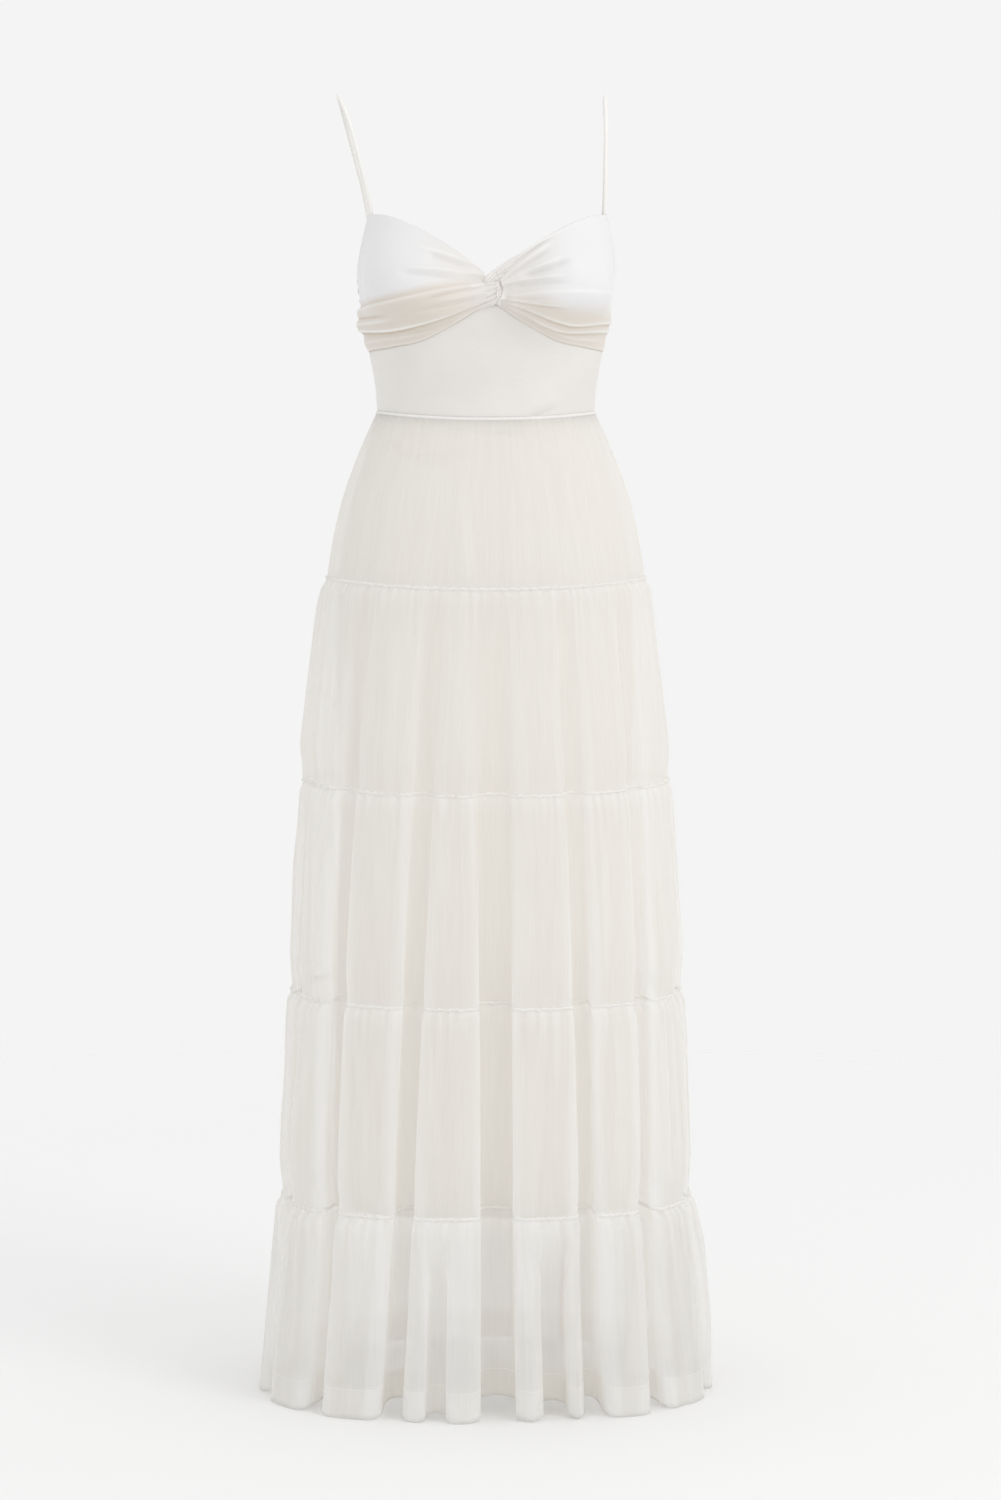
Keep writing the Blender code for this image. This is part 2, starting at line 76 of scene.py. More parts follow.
DeepFold = namedtuple("DeepFold", "at_hips at_hem half_width depth starts")
DEEP_FOLDS = (
    DeepFold(-46, -49, 7.5, 0.75, 1.00),
    DeepFold(-18, -25, 6.5, 0.85, 1.00),
    DeepFold(-14, -13.5, 5.0, 0.38, 0.24),
    DeepFold(0.5, 1.2, 9.5, 1.00, 1.00),
    DeepFold(14, 15.0, 7.0, 0.75, 0.24),
    DeepFold(24.0, 25.5, 6.0, 0.85, 1.00),
    DeepFold(50, 45, 7.5, 0.75, 1.00),
    DeepFold(77, 75, 8.5, 0.45, 0.80),
    DeepFold(104, 101, 9.0, 0.80, 1.00),
    DeepFold(131, 127, 8.5, 0.70, 1.00),
    DeepFold(150, 152, 8.5, 0.95, 1.00),
    DeepFold(177, 176, 9.5, 0.80, 1.00),
    DeepFold(204, 201, 8.0, 0.90, 1.00),
    DeepFold(228, 229, 8.5, 0.65, 1.00),
    DeepFold(258, 255, 9.0, 0.80, 1.00),
    DeepFold(286, 283, 8.5, 0.50, 0.80),
)
FOLD_OPENING = 0.09
STEEPNESS = 1.7
STEEP_BELOW = 0.55
STEEP_FROM_DEPTH = 0.6

Ring = namedtuple("Ring", "height half_width front back")
LINING_RINGS = (
    Ring(1.030, 0.1280, 0.0970, 0.1000),
    Ring(0.976, 0.1460, 0.1090, 0.1240),
    Ring(0.900, 0.1600, 0.1170, 0.1380),
    Ring(0.660, 0.1620, 0.1195, 0.1420),
    Ring(0.420, 0.1645, 0.1210, 0.1440),
    Ring(0.207, 0.1680, 0.1230, 0.1460),
)
BODICE_RINGS = (
    Ring(1.063, 0.1177, 0.0890, 0.0870),
    Ring(1.100, 0.1205, 0.0915, 0.0860),
    Ring(1.130, 0.1255, 0.0935, 0.0870),
    Ring(1.170, 0.1320, 0.0930, 0.0900),
    Ring(1.210, 0.1380, 0.0920, 0.0930),
    Ring(1.250, 0.1405, 0.0920, 0.0950),
    Ring(1.290, 0.1405, 0.0920, 0.0950),
)
CUP_TURN = math.radians(32)
CUP_HEIGHT = 1.203
CUP_DEPTH = 0.048
CUP_HALF_TURN = math.radians(26)
CUP_RISE = 0.062
CUP_FALL = 0.046
CUP_ROUNDNESS = 1.2

EdgePoint = namedtuple("EdgePoint", "turn height")
NECKLINE = (
    EdgePoint(2.2, 1.2175),
    EdgePoint(12, 1.2395),
    EdgePoint(27, 1.2640),
    EdgePoint(43, 1.2785),
    EdgePoint(61, 1.2830),
)
UNDERBUST = (
    EdgePoint(2.2, 1.1840),
    EdgePoint(13, 1.1655),
    EdgePoint(29, 1.1465),
    EdgePoint(48, 1.1400),
    EdgePoint(90, 1.1365),
)
ARMHOLE = (
    EdgePoint(90, 1.2180),
    EdgePoint(80, 1.2290),
    EdgePoint(69, 1.2520),
    EdgePoint(61, 1.2830),
)
ARMHOLE_SHARE = 0.60
BACK_TOP_HEIGHT = 1.2180

StrapPoint = namedtuple("StrapPoint", "share x y height")
LEFT_STRAP = (
    StrapPoint(0.000, 0.1254, -0.0475, 1.2837),
    StrapPoint(0.135, 0.1262, -0.0515, 1.3360),
    StrapPoint(0.255, 0.1272, -0.0440, 1.3810),
    StrapPoint(0.364, 0.1285, -0.0140, 1.4103),
    StrapPoint(0.465, 0.1310, 0.0240, 1.4080),
    StrapPoint(0.582, 0.1345, 0.0560, 1.3780),
    StrapPoint(0.790, 0.1340, 0.0700, 1.3000),
    StrapPoint(1.000, 0.1200, 0.0537, 1.2187),
)
RIGHT_STRAP = (
    StrapPoint(0.000, -0.1254, -0.0475, 1.2841),
    StrapPoint(0.135, -0.1370, -0.0515, 1.3360),
    StrapPoint(0.255, -0.1490, -0.0440, 1.3810),
    StrapPoint(0.364, -0.1595, -0.0140, 1.4103),
    StrapPoint(0.465, -0.1580, 0.0240, 1.4080),
    StrapPoint(0.582, -0.1490, 0.0560, 1.3780),
    StrapPoint(0.790, -0.1290, 0.0700, 1.3000),
    StrapPoint(1.000, -0.1200, 0.0537, 1.2189),
)
STRAP_RADIUS = 0.0023

# The creases that show on the dress, as lines of x and height. A ridge stands up and a trough sinks in. A
# fold up is an edge of cloth that lies over what is above it, and a fold down is one that lies over what is
# below it; reach is how far its thickness takes to die away. Start and end are the shares of the line over
# which it fades in and out.
Crease = namedtuple("Crease", "kind height width reach start end line")


def crease_rows(*rows):
    """Creases from rows that end in each place's x and height, with all lengths in millimetres."""
    made = []
    for kind, height, width, reach, start, end, *line in rows:
        places = np.array(line).reshape(-1, 2) * MM
        made.append(Crease(kind, height * MM, width * MM, reach * MM, start, end, places))
    return made


BUST_CREASES = crease_rows(
    # the wearer's right
    ("ridge", 2.4, 5.5, 0, 0.35, 0, -87, 1248, -45, 1236, -3, 1221),
    ("trough", 3, 6, 0, 0.3, 0.3, -72, 1240, -48, 1229, -18, 1218.5),
    ("ridge", 2.6, 5, 0, 0.3, 0, -99, 1222, -50, 1220, -6, 1214.5),
    ("trough", 2.4, 5.5, 0, 0.25, 0.3, -100, 1216.5, -70, 1213, -30, 1209),
    ("fold up", 5.2, 3.4, 30, 0, 0, -140, 1182, -113, 1186.5, -87, 1192, -56, 1199, -28, 1204, 7, 1206.5),
    ("trough", 2.2, 2.8, 0, 0.25, 0.1, -75, 1186.5, -35, 1196.5, 3, 1202.5),
    ("ridge", 2, 3.4, 0, 0.3, 0, -62, 1185, -25, 1191.5, 7, 1199),
    ("trough", 1.4, 3, 0, 0.35, 0.2, -95, 1175, -50, 1181, -10, 1190.5),
    ("fold down", 4.4, 1.4, 16, 0, 0, -140, 1158, -104, 1155.5, -64, 1164, -30, 1176, 7, 1191),
    ("trough", 2.8, 4.2, 0, 0.35, 0.3, -95, 1151.5, -62, 1158, -28, 1171),
    ("trough", 1.8, 2.2, 0, 0, 0.5, -140, 1172.5, -120, 1171.5, -100, 1172.5),
    ("ridge", 2, 3, 0, 0, 0.5, -140, 1166, -118, 1165.5, -92, 1168.5),
    ("ridge", 2.2, 5.5, 0, 0, 0, -128, 1146, -86, 1150.5, -40, 1165.5, 4, 1184),
    # the wearer's left
    ("ridge", 2.2, 3.6, 0, 0, 0.4, 8, 1216.5, 30, 1234.5, 55, 1252, 88, 1269),
    ("trough", 2, 2.6, 0, 0, 0.4, 9, 1211, 29, 1230.5, 53, 1247.5, 79, 1264),
    ("ridge", 1.8, 3, 0, 0, 0.4, 10, 1209, 30, 1225.5, 52, 1241.5, 70, 1253),
    ("trough", 1.8, 2.6, 0, 0, 0.4, 11, 1208, 30, 1220.5, 52, 1234.5, 66, 1244),
    ("ridge", 3.6, 4.6, 0, 0, 0.35, 12, 1207, 45, 1221.5, 82, 1236),
    ("trough", 4.4, 6, 0, 0.3, 0.25, 28, 1211, 58, 1219, 88, 1232),
    ("ridge", 3.4, 3.8, 0, 0, 0.3, 12, 1205, 45, 1211, 80, 1214),
    ("trough", 3, 5, 0, 0.2, 0.35, 22, 1201, 55, 1204.5, 92, 1206.5),
    ("fold up", 3.4, 3, 20, 0.15, 0.35,
     14, 1194.5, 30, 1195.5, 55, 1197.5, 86, 1199, 118, 1198.5, 140, 1197.5),
    ("fold down", 3, 1.4, 12, 0, 0.35, 12, 1188.5, 50, 1182.5, 90, 1178.5),
    ("trough", 1.4, 3, 0, 0.1, 0.4, 12, 1190, 40, 1188.5, 75, 1189.5),
    ("fold down", 3.4, 1.4, 10, 0, 0, 10, 1187, 40, 1176, 70, 1164.5, 95, 1161, 140, 1168),
    ("fold down", 2.8, 1.4, 9, 0, 0, 8, 1185, 35, 1172, 58, 1160, 85, 1153.5, 140, 1158),
    ("ridge", 1.4, 3.5, 0, 0.1, 0.2, 12, 1183, 45, 1166, 85, 1149, 130, 1148),
)
MIDRIFF_CREASES = crease_rows(
    ("trough", 2, 4.5, 0, 0.4, 0.4, 36, 1065.5, 58, 1070, 82, 1080),
    ("ridge", 1.2, 6, 0, 0.4, 0.4, 30, 1073, 58, 1079, 80, 1089),
    ("trough", 1, 9, 0, 0.4, 0.4, -100, 1072, -70, 1086, -30, 1090),
    ("trough", 1.2, 11, 0, 0.4, 0.4, -60, 1133, -30, 1148, -8, 1170),
    ("trough", 1.2, 11, 0, 0.4, 0.4, 12, 1168, 30, 1150, 60, 1134),
)
YOKE_CREASES = crease_rows(
    ("ridge", 1.6, 5, 0, 0.3, 0.3, -112, 1045, -90, 1032, -62, 1025, -25, 1028),
    ("trough", 1.6, 6, 0, 0.3, 0.3, -108, 1037, -80, 1021, -45, 1017, -10, 1024),
    ("ridge", 2, 3.4, 0, 0.3, 0.3, -50, 1054, 0, 1051, 64, 1050),
    ("trough", 1.2, 4.5, 0, 0.3, 0.3, -40, 1052, 10, 1047, 60, 1043),
    ("ridge", 2.2, 6, 0, 0.4, 0.1, -36, 1005, -31, 950, -26, 885),
    ("trough", 2, 6, 0, 0.4, 0.1, -23, 1000, -19, 945, -12, 885),
    ("ridge", 1.6, 5.5, 0, 0.4, 0.1, 16, 990, 19, 940, 22, 885),
    ("ridge", 1.8, 6, 0, 0.4, 0.1, 70, 1020, 75, 960, 80, 885),
    ("trough", 1.6, 7, 0, 0.4, 0.1, 96, 1030, 104, 960, 110, 890),
    ("ridge", 1.8, 6, 0, 0.4, 0.1, 100, 1040, 116, 970, 124, 890),
    ("trough", 1.4, 6, 0, 0.4, 0.1, -74, 1000, -80, 940, -82, 890),
    ("ridge", 1.6, 7, 0, 0.4, 0.1, -104, 1010, -112, 950, -118, 890),
)


def smooth(share):
    """Rises from 0 to 1 with level ends."""
    share = np.clip(share, 0.0, 1.0)
    return share * share * (3 - 2 * share)


def mix(start, end, share):
    return start + (end - start) * share


def through(keys, values, at):
    """A smooth curve through pairs of keys and values, read at an array of places."""
    keys, values = np.asarray(keys, float), np.asarray(values, float)
    if keys[0] > keys[-1]:
        keys, values = keys[::-1], values[::-1]
    at = np.clip(at, keys[0], keys[-1])
    i = np.clip(np.searchsorted(keys, at, side="right") - 1, 0, len(keys) - 2)
    span = np.diff(keys)
    slope = np.diff(values) / span
    tangent = np.concatenate([slope[:1], (slope[:-1] + slope[1:]) / 2, slope[-1:]])
    share = (at - keys[i]) / span[i]
    square, cube = share**2, share**3
    return (
        values[i] * (2 * cube - 3 * square + 1)
        + tangent[i] * span[i] * (cube - 2 * square + share)
        + values[i + 1] * (3 * square - 2 * cube)
        + tangent[i + 1] * span[i] * (cube - square)
    )


def column(rows, name):
    return [getattr(row, name) for row in rows]


def on_ring(half_width, front, back, turn):
    """Plan points of a rounded oval ring, at turns from the front that grow towards +X."""
    across = (np.sin(turn) + SQUARENESS * np.sin(3 * turn)) / (1 - SQUARENESS)
    ahead = (np.cos(turn) - SQUARENESS * np.cos(3 * turn)) / (1 - SQUARENESS)
    return half_width * across, -np.where(ahead > 0, front, back) * ahead


def moved_out(half_width, front, back, turn, out):
    """Points of a ring, moved out square to it by a distance."""
    step = 1e-4
    x, y = on_ring(half_width, front, back, turn)
    x0, y0 = on_ring(half_width, front, back, turn - step)
    x1, y1 = on_ring(half_width, front, back, turn + step)
    length = np.hypot(x1 - x0, y1 - y0)
    return x + (y1 - y0) / length * out, y - (x1 - x0) / length * out


def stacked(x, y, height):
    """Grids of x, y and height as points in the dress's frame."""
    x, y, height = np.broadcast_arrays(x, y, height)
    return np.stack([x, y, height - SHOULDER_HEIGHT], axis=-1)


def fold_places(turn, height):
    """For each deep fold: its depth at these places, and how far across it they lie, from -1 to 1."""
    lowered = 1 - height / HIP.height
    for fold in DEEP_FOLDS:
        centre = mix(fold.at_hips, fold.at_hem, lowered)
        away = ((np.degrees(turn) - centre + 180) % 360 - 180) / fold.half_width
        opened = smooth((fold.starts * HIP.height - height) / FOLD_OPENING) if fold.starts < 1 else 1.0
        yield fold, fold.depth * opened, np.clip(away, -1, 1)


def deep_fold(turn, height):
    """How far into the deep folds a place on the skirt lies, from 0 on a crest to 1 in the deepest."""
    depth = np.zeros(np.broadcast(turn, height).shape)
    for _fold, deep, away in fold_places(turn, height):
        depth = np.maximum(depth, deep * np.cos(away * QUARTER) ** 2)
    return depth


def drawn_in(turn, height):
    """Turns with the mouths of the deep folds drawn together, more so lower down, for steep walls."""
    drawn = np.zeros(np.broadcast(turn, height).shape)
    steep = smooth((HIP.height - height) / STEEP_BELOW)
    for fold, deep, away in fold_places(turn, height):
        shift = np.sin(FULL_TURN * away) / FULL_TURN * fold.half_width
        drawn = drawn + shift * steep * np.minimum(deep / STEEP_FROM_DEPTH, 1) * STEEPNESS
    return turn + np.radians(drawn)


def seam_height(seam, turn):
    return seam.height + seam.side_rise * np.sin(turn) ** 2 + seam.fold_rise * deep_fold(turn, seam.height)


def line_points(line, count=60):
    """A smooth line through a crease's places."""
    steps = np.linspace(0, len(line) - 1, count)
    keys = np.arange(len(line))
    return np.stack([through(keys, line[:, 0], steps), through(keys, line[:, 1], steps)], axis=-1)


CREST = 1.45
FOLD_EDGE = 1.6
PAST_END = 0.0022


def crease_shape(crease, away):
    """How far a crease raises the cloth across its line, from -1 to 1."""
    if crease.kind in ("ridge", "trough"):
        raised = np.exp(-(np.abs(away / crease.width) ** CREST))
        return raised if crease.kind == "ridge" else -raised
    inward = away if crease.kind == "fold down" else -away
    edge = 0.5 + 0.5 * np.tanh(inward / crease.width * FOLD_EDGE)
    return edge * np.exp(-((np.maximum(inward, 0) / crease.reach) ** 2))


def crease_out(creases, x, height):
    """How far a set of creases raises the cloth at grids of x and height."""
    out = np.zeros_like(x)
    for crease in creases:
        line = line_points(crease.line)
        margin = 4 * crease.width + 2.5 * crease.reach
        low, high = line.min(axis=0) - margin, line.max(axis=0) + margin
        near = (x > low[0]) & (x < high[0]) & (height > low[1]) & (height < high[1])
        if not near.any():
            continue
        place = np.stack([x[near], height[near]], axis=-1)
        start, run = line[:-1], np.diff(line, axis=0)
        reached = ((place[:, None] - start) * run).sum(-1) / (run**2).sum(-1)
        along = np.clip(reached, 0, 1)
        gap = place[:, None] - (start + run * along[..., None])
        distance = np.hypot(gap[..., 0], gap[..., 1])
        k = distance.argmin(axis=1)
        rows = np.arange(len(place))
        side = np.sign(run[k, 0] * gap[rows, k, 1] - run[k, 1] * gap[rows, k, 0])
        away = distance[rows, k] * side
        share = (k + along[rows, k]) / len(run)
        past = np.abs(reached[rows, k] - along[rows, k]) * np.hypot(run[k, 0], run[k, 1])
        past = np.where((share <= 0) | (share >= 1), past, 0)
        fade = np.exp(-((past / PAST_END) ** 2))
        if crease.start:
            fade *= smooth(share / crease.start)
        if crease.end:
            fade *= smooth((1 - share) / crease.end)
        out[near] += crease.height * crease_shape(crease, away) * fade
    return out


def spaced(random, count, uneven):
    """Turns spread unevenly round the dress."""
    return (np.arange(count) + random.uniform(-uneven, uneven, count)) * FULL_TURN / count


def turned_from(turn, place):
    """How far turns lie from a place, the short way round."""
    return (turn - place + math.pi) % FULL_TURN - math.pi


def gather_out(tier, turn, share):
    """The fine gathers that run down from a tier's top seam, and fade out unevenly."""
    random = np.random.default_rng(tier.seed)
    count = tier.gathers
    places = spaced(random, count, 0.36)
    widths = random.uniform(0.22, 0.42, count) * FULL_TURN / count
    depths = random.uniform(0.35, 1.25, count) * tier.gather_depth
    lengths = 0.07 + 0.36 * random.uniform(0, 1, count) ** 2.6
    leans = random.normal(0, 0.35, count) * FULL_TURN / count
    out = np.zeros(np.broadcast(turn, share).shape)
    for place, width, depth, length, lean in zip(places, widths, depths, lengths, leans):
        away = turned_from(turn, place + lean * share)
        spread = width * (1 + 1.6 * share)
        out -= depth * np.exp(-((away / spread) ** 2)) * np.exp(-((share / length) ** 2))
    return out * smooth((share + 0.012) / 0.04)


def wave_out(tier, turn, share):
    """The broader soft folds of a tier, uneven in place, width, depth and length."""
    random = np.random.default_rng(tier.seed + 500)
    count = tier.waves
    places = spaced(random, count, 0.34)
    widths = random.uniform(0.16, 0.42, count) * FULL_TURN / count
    depths = random.uniform(0.35, 1.2, count) * tier.wave_depth * random.choice((-1, -1, 1), count)
    begins = random.uniform(-0.05, 0.30, count)
    ends = random.uniform(0.55, 1.6, count)
    leans = random.normal(0, 0.22, count) * FULL_TURN / count
    sway = random.uniform(0, FULL_TURN, count)
    out = np.zeros(np.broadcast(turn, share).shape)
    waves = zip(places, widths, depths, begins, ends, leans, sway)
    for place, width, depth, begin, end, lean, phase in waves:
        bend = lean * share + 0.10 * width * np.sin(phase + 5 * share)
        away = turned_from(turn, place + bend)
        spread = width * mix(0.65, 1.15, share)
        runs = smooth((share - begin) / 0.25) * smooth((end - share) / 0.35)
        out += depth * np.exp(-((away / spread) ** 2)) * runs
    return out


SIDE_SEAM_DEPTH = 0.0010
SIDE_SEAM_WIDTH = 0.012
WAVES_FULL_AT = 0.12
WAVES_AT_SEAM = 0.35


def tier_out(tier, turn, share):
    """How far a tier stands out from its ring at a share of the way down."""
    is_hem = tier.bottom is HEM
    falls = 1.0 if is_hem else 1 - smooth((share - PUFF_END) / (1 - PUFF_END))
    puff = tier.puff * smooth(share / PUFF_SHARE) * falls
    belly = tier.belly * np.sin(math.pi * share)
    held = 1.0 if is_hem else mix(WAVES_AT_SEAM, 1.0, falls)
    height = mix(tier.top.height, tier.bottom.height, share)
    fold = mix(tier.top.fold_depth, tier.bottom.fold_depth, share) * deep_fold(turn, height)
    side_seam = np.exp(-((np.abs(np.cos(turn)) / SIDE_SEAM_WIDTH) ** 2)) * SIDE_SEAM_DEPTH
    waves = wave_out(tier, turn, share) * smooth(share / WAVES_FULL_AT) * held
    return puff + belly - fold + waves + gather_out(tier, turn, share) - side_seam


def tier_points(tier, turn, share, out=0.0):
    """Points on a tier's cloth, at grids of turn and share, moved out by a distance."""
    rings = [mix(getattr(tier.top, name), getattr(tier.bottom, name), share) for name in Ring._fields[1:]]
    height = mix(seam_height(tier.top, turn), seam_height(tier.bottom, turn), share)
    stands = tier_out(tier, turn, share)
    if tier.top is WAIST:
        x, y = moved_out(*rings, turn, 0.0)
        front = smooth((-y - 0.02) / 0.03)
        stands = stands + front * crease_out(YOKE_CREASES, *np.broadcast_arrays(x, height))
    else:
        turn = drawn_in(turn, mix(tier.top.height, tier.bottom.height, share))
    x, y = moved_out(*rings, turn, stands + out)
    return stacked(x, y, height)


def even_turns(tier, count):
    """Turns whose places lie evenly along a tier's folds."""
    turns = np.linspace(-math.pi, math.pi, 6000)
    line = tier_points(tier, turns, np.full(6000, 0.7))
    run = np.concatenate([[0], np.cumsum(np.linalg.norm(np.diff(line, axis=0), axis=-1))])
    return np.interp(np.linspace(0, run[-1], count, endpoint=False), run, turns)


def cup_out(turn, height):
    """How far the bust cups round the bodice out."""
    rise = height - CUP_HEIGHT
    tall = rise / np.where(rise > 0, CUP_RISE, CUP_FALL)
    out = 0.0
    for side in (-1, 1):
        wide = (turn - side * CUP_TURN) / CUP_HALF_TURN
        out = out + CUP_DEPTH * np.exp(-((wide**2 + tall**2) ** CUP_ROUNDNESS))
    return out


def ring_sizes(rings, height):
    """The half width, front and back of a stack of rings, at heights."""
    return [through(column(rings, "height"), column(rings, name), height) for name in Ring._fields[1:]]


def bodice_points(turn, height, out=0.0):
    """Points that stand out from the bodice's surface by a distance."""
    x, y = moved_out(*ring_sizes(BODICE_RINGS, height), turn, cup_out(turn, height) + out)
    return stacked(x, y, height)


def edge_height(edge, turn):
    return through(column(edge, "turn"), column(edge, "height"), np.abs(np.degrees(turn)))


def edge_at(edge, share):
    """Turns and heights at shares of the way along an edge's points."""
    turn = mix(edge[0].turn, edge[-1].turn, share)
    return np.radians(turn), through(column(edge, "turn"), column(edge, "height"), turn)


def outer_edge(across):
    """The bust panel's outer edge: up the side seam, then along the armhole to the strap."""
    height = mix(UNDERBUST[-1].height, ARMHOLE[0].height, across / ARMHOLE_SHARE)
    on_armhole = edge_at(ARMHOLE, np.clip((across - ARMHOLE_SHARE) / (1 - ARMHOLE_SHARE), 0, 1))
    at_side = across <= ARMHOLE_SHARE
    return np.where(at_side, QUARTER, on_armhole[0]), np.where(at_side, height, on_armhole[1])


def panel_place(along, across):
    """Turns and heights of places on a bust panel, blended from its four edges."""
    lower, upper = edge_at(UNDERBUST, along), edge_at(NECKLINE, along)
    start_low, start_high = edge_at(UNDERBUST, 0.0), edge_at(NECKLINE, 0.0)
    end_low, end_high = edge_at(UNDERBUST, 1.0), edge_at(NECKLINE, 1.0)
    side = outer_edge(across)
    place = []
    for k in (0, 1):
        middle = mix(start_low[k], start_high[k], across)
        corners = mix(middle, mix(end_low[k], end_high[k], across), along)
        place.append(mix(lower[k], upper[k], across) + mix(middle, side[k], along) - corners)
    return place


# Meshes. A grid's rows run down the cloth and its columns towards +X at the front, so that its faces point
# outwards.

def grid_faces(rows, columns, closed):
    """Corner numbers of a grid's faces, and the places of those corners in its rows and columns."""
    across = columns if closed else columns - 1
    r, c = np.meshgrid(np.arange(rows - 1), np.arange(across), indexing="ij")
    corner_rows = np.stack([r, r + 1, r + 1, r], axis=-1).reshape(-1, 4)
    corner_columns = np.stack([c, c, c + 1, c + 1], axis=-1).reshape(-1, 4)
    faces = corner_rows * columns + corner_columns % columns
    return faces, corner_rows, corner_columns


def make_mesh(name, points, faces, corner_uv, values=None):
    """A smooth-shaded mesh, with a UV map in metres and named values at its points."""
    mesh = bpy.data.meshes.new(name)
    mesh.from_pydata(points.tolist(), [], faces.tolist())
    mesh.uv_layers.new(name="cloth").data.foreach_set("uv", corner_uv.astype(np.float32).ravel())
    for key, numbers in (values or {}).items():
        layer = mesh.attributes.new(key, "FLOAT", "POINT")
        layer.data.foreach_set("value", numbers.astype(np.float32).ravel())
    mesh.polygons.foreach_set("use_smooth", np.ones(len(faces), bool))
    mesh.update()
    return mesh


def put(name, data):
    """A new object in the scene."""
    thing = bpy.data.objects.new(name, data)
    bpy.context.scene.collection.objects.link(thing)
    return thing


def halves(name):
    """The two solids of a piece that goes all the way round."""
    return name + "_front", name + "_back"


def place(name, mesh, material, slot, nodes):
    """Puts a finished piece in the scene, in place of its solids."""
    piece = put(name, mesh)
    if material is not None:
        mesh.materials.clear()
        mesh.materials.append(material)
    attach(piece, "root")
    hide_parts(*nodes)
    return piece


def cloth_uv(columns, rows, width, length, closed):
    """Where a grid's rows and columns lie on the cloth, in metres."""
    u = np.linspace(0, width, columns + closed)
    v = np.linspace(length, 0, rows)
    return np.stack(np.meshgrid(u, v), axis=-1)


def single_cloth(name, points, uv, values=None):
    """One layer of cloth all the way round, from a grid of points."""
    rows, columns = points.shape[:2]
    faces, corner_rows, corner_columns = grid_faces(rows, columns, True)
    corner_uv = uv[corner_rows, corner_columns]
    return make_mesh(name, points.reshape(-1, 3), faces, corner_uv, values)


def cloth_shell(name, outer, inner, uv, closed=False, values=None):
    """A closed wall of cloth between an outer and an inner grid."""
    rows, columns = outer.shape[:2]
    faces, corner_rows, corner_columns = grid_faces(rows, columns, closed)
    count = rows * columns
    corner_uv = uv[corner_rows, corner_columns]
    number = np.arange(count).reshape(rows, columns)
    at = np.stack(np.meshgrid(np.arange(rows), np.arange(columns), indexing="ij"), axis=-1)
    if closed:
        edges = [number[0], number[-1][::-1]]
        places = [at[0], at[-1][::-1]]
    else:
        edges = [np.concatenate([number[0], number[1:, -1], number[-1, -2::-1], number[-2:0:-1, 0]])]
        places = [np.concatenate([at[0], at[1:, -1], at[-1, -2::-1], at[-2:0:-1, 0]])]
    rims, rim_uv = [], []
    for edge, spot in zip(edges, places):
        following, spot_next = np.roll(edge, -1), np.roll(spot, -1, axis=0)
        rims.append(np.stack([edge, following, following + count, edge + count], axis=-1))
        corners = np.stack([spot, spot_next, spot_next, spot], axis=1)
        rim_uv.append(uv[corners[..., 0], corners[..., 1]])
    all_faces = np.concatenate([faces, faces[:, ::-1] + count, *rims])
    all_uv = np.concatenate([corner_uv, corner_uv[:, ::-1], *rim_uv])
    points = np.concatenate([outer.reshape(-1, 3), inner.reshape(-1, 3)])
    doubled = {key: np.concatenate([v.ravel(), v.ravel()]) for key, v in (values or {}).items()}
    return make_mesh(name, points, all_faces, all_uv, doubled)


def softened(values, reach, axis):
    """Values averaged with their neighbours along one axis of a grid."""
    kernel = np.hanning(2 * reach + 3)[1:-1]
    kernel /= kernel.sum()
    padded = np.concatenate([np.repeat(np.take(values, [0], axis), reach, axis), values,
                             np.repeat(np.take(values, [-1], axis), reach, axis)], axis)
    return np.apply_along_axis(lambda row: np.convolve(row, kernel, mode="valid"), axis, padded)


def stands_above(out, reach):
    """How far each place stands above those round it."""
    return out - softened(softened(out, reach, 0), reach, 1)


def hollows(out, reach=3, full=0.0007):
    """How deep in a crease each place lies, from 0 to 1."""
    return np.clip(-stands_above(out, reach) / full, 0, 1) ** 1.5


def crests(out, reach=3, full=0.0006):
    """How far up a ridge each place lies, from 0 to 1."""
    return np.clip(stands_above(out, reach) / full, 0, 1)


def unit(vectors):
    return vectors / (np.linalg.norm(vectors, axis=-1, keepdims=True) + 1e-12)


def arc_length(points, closed):
    """The length of a row of points."""
    run = np.diff(points, axis=0)
    total = np.linalg.norm(run, axis=-1).sum()
    return total + np.linalg.norm(points[0] - points[-1]) if closed else total


# Finishes. Each is built from nodes, with its pattern on the cloth's own UV map, whose unit is a metre.

def add(tree, kind, inputs=None, **settings):
    """A node with its settings and the values or links of its named inputs."""
    new = tree.nodes.new(kind)
    for key, value in settings.items():
        setattr(new, key, value)
    for key, value in (inputs or {}).items():
        socket = new.inputs[key]
        if isinstance(value, bpy.types.NodeSocket):
            tree.links.new(value, socket)
        else:
            socket.default_value = value
    return new


def start_material(name):
    material = bpy.data.materials.new(name)
    material.use_nodes = True
    material.node_tree.nodes.clear()
    return material, material.node_tree


def cloth_surface(tree, colour, roughness, normal, sheen, sheen_roughness=0.5, **more):
    """The surface of a cloth, with its soft sheen."""
    inputs = {"Base Color": colour, "Roughness": roughness, "Normal": normal, "Sheen Weight": sheen,
              "Sheen Roughness": sheen_roughness}
    return add(tree, "ShaderNodeBsdfPrincipled", inputs | more).outputs[0]


def end_material(tree, surface, through=0.0, glow=None):
    """The material's output, with a share of glow where light comes through the cloth."""
    if glow is not None:
        lit = add(tree, "ShaderNodeBsdfTranslucent", glow).outputs[0]
        surface = add(tree, "ShaderNodeMixShader", {0: through, 1: surface, 2: lit}).outputs[0]
    add(tree, "ShaderNodeOutputMaterial", {"Surface": surface})


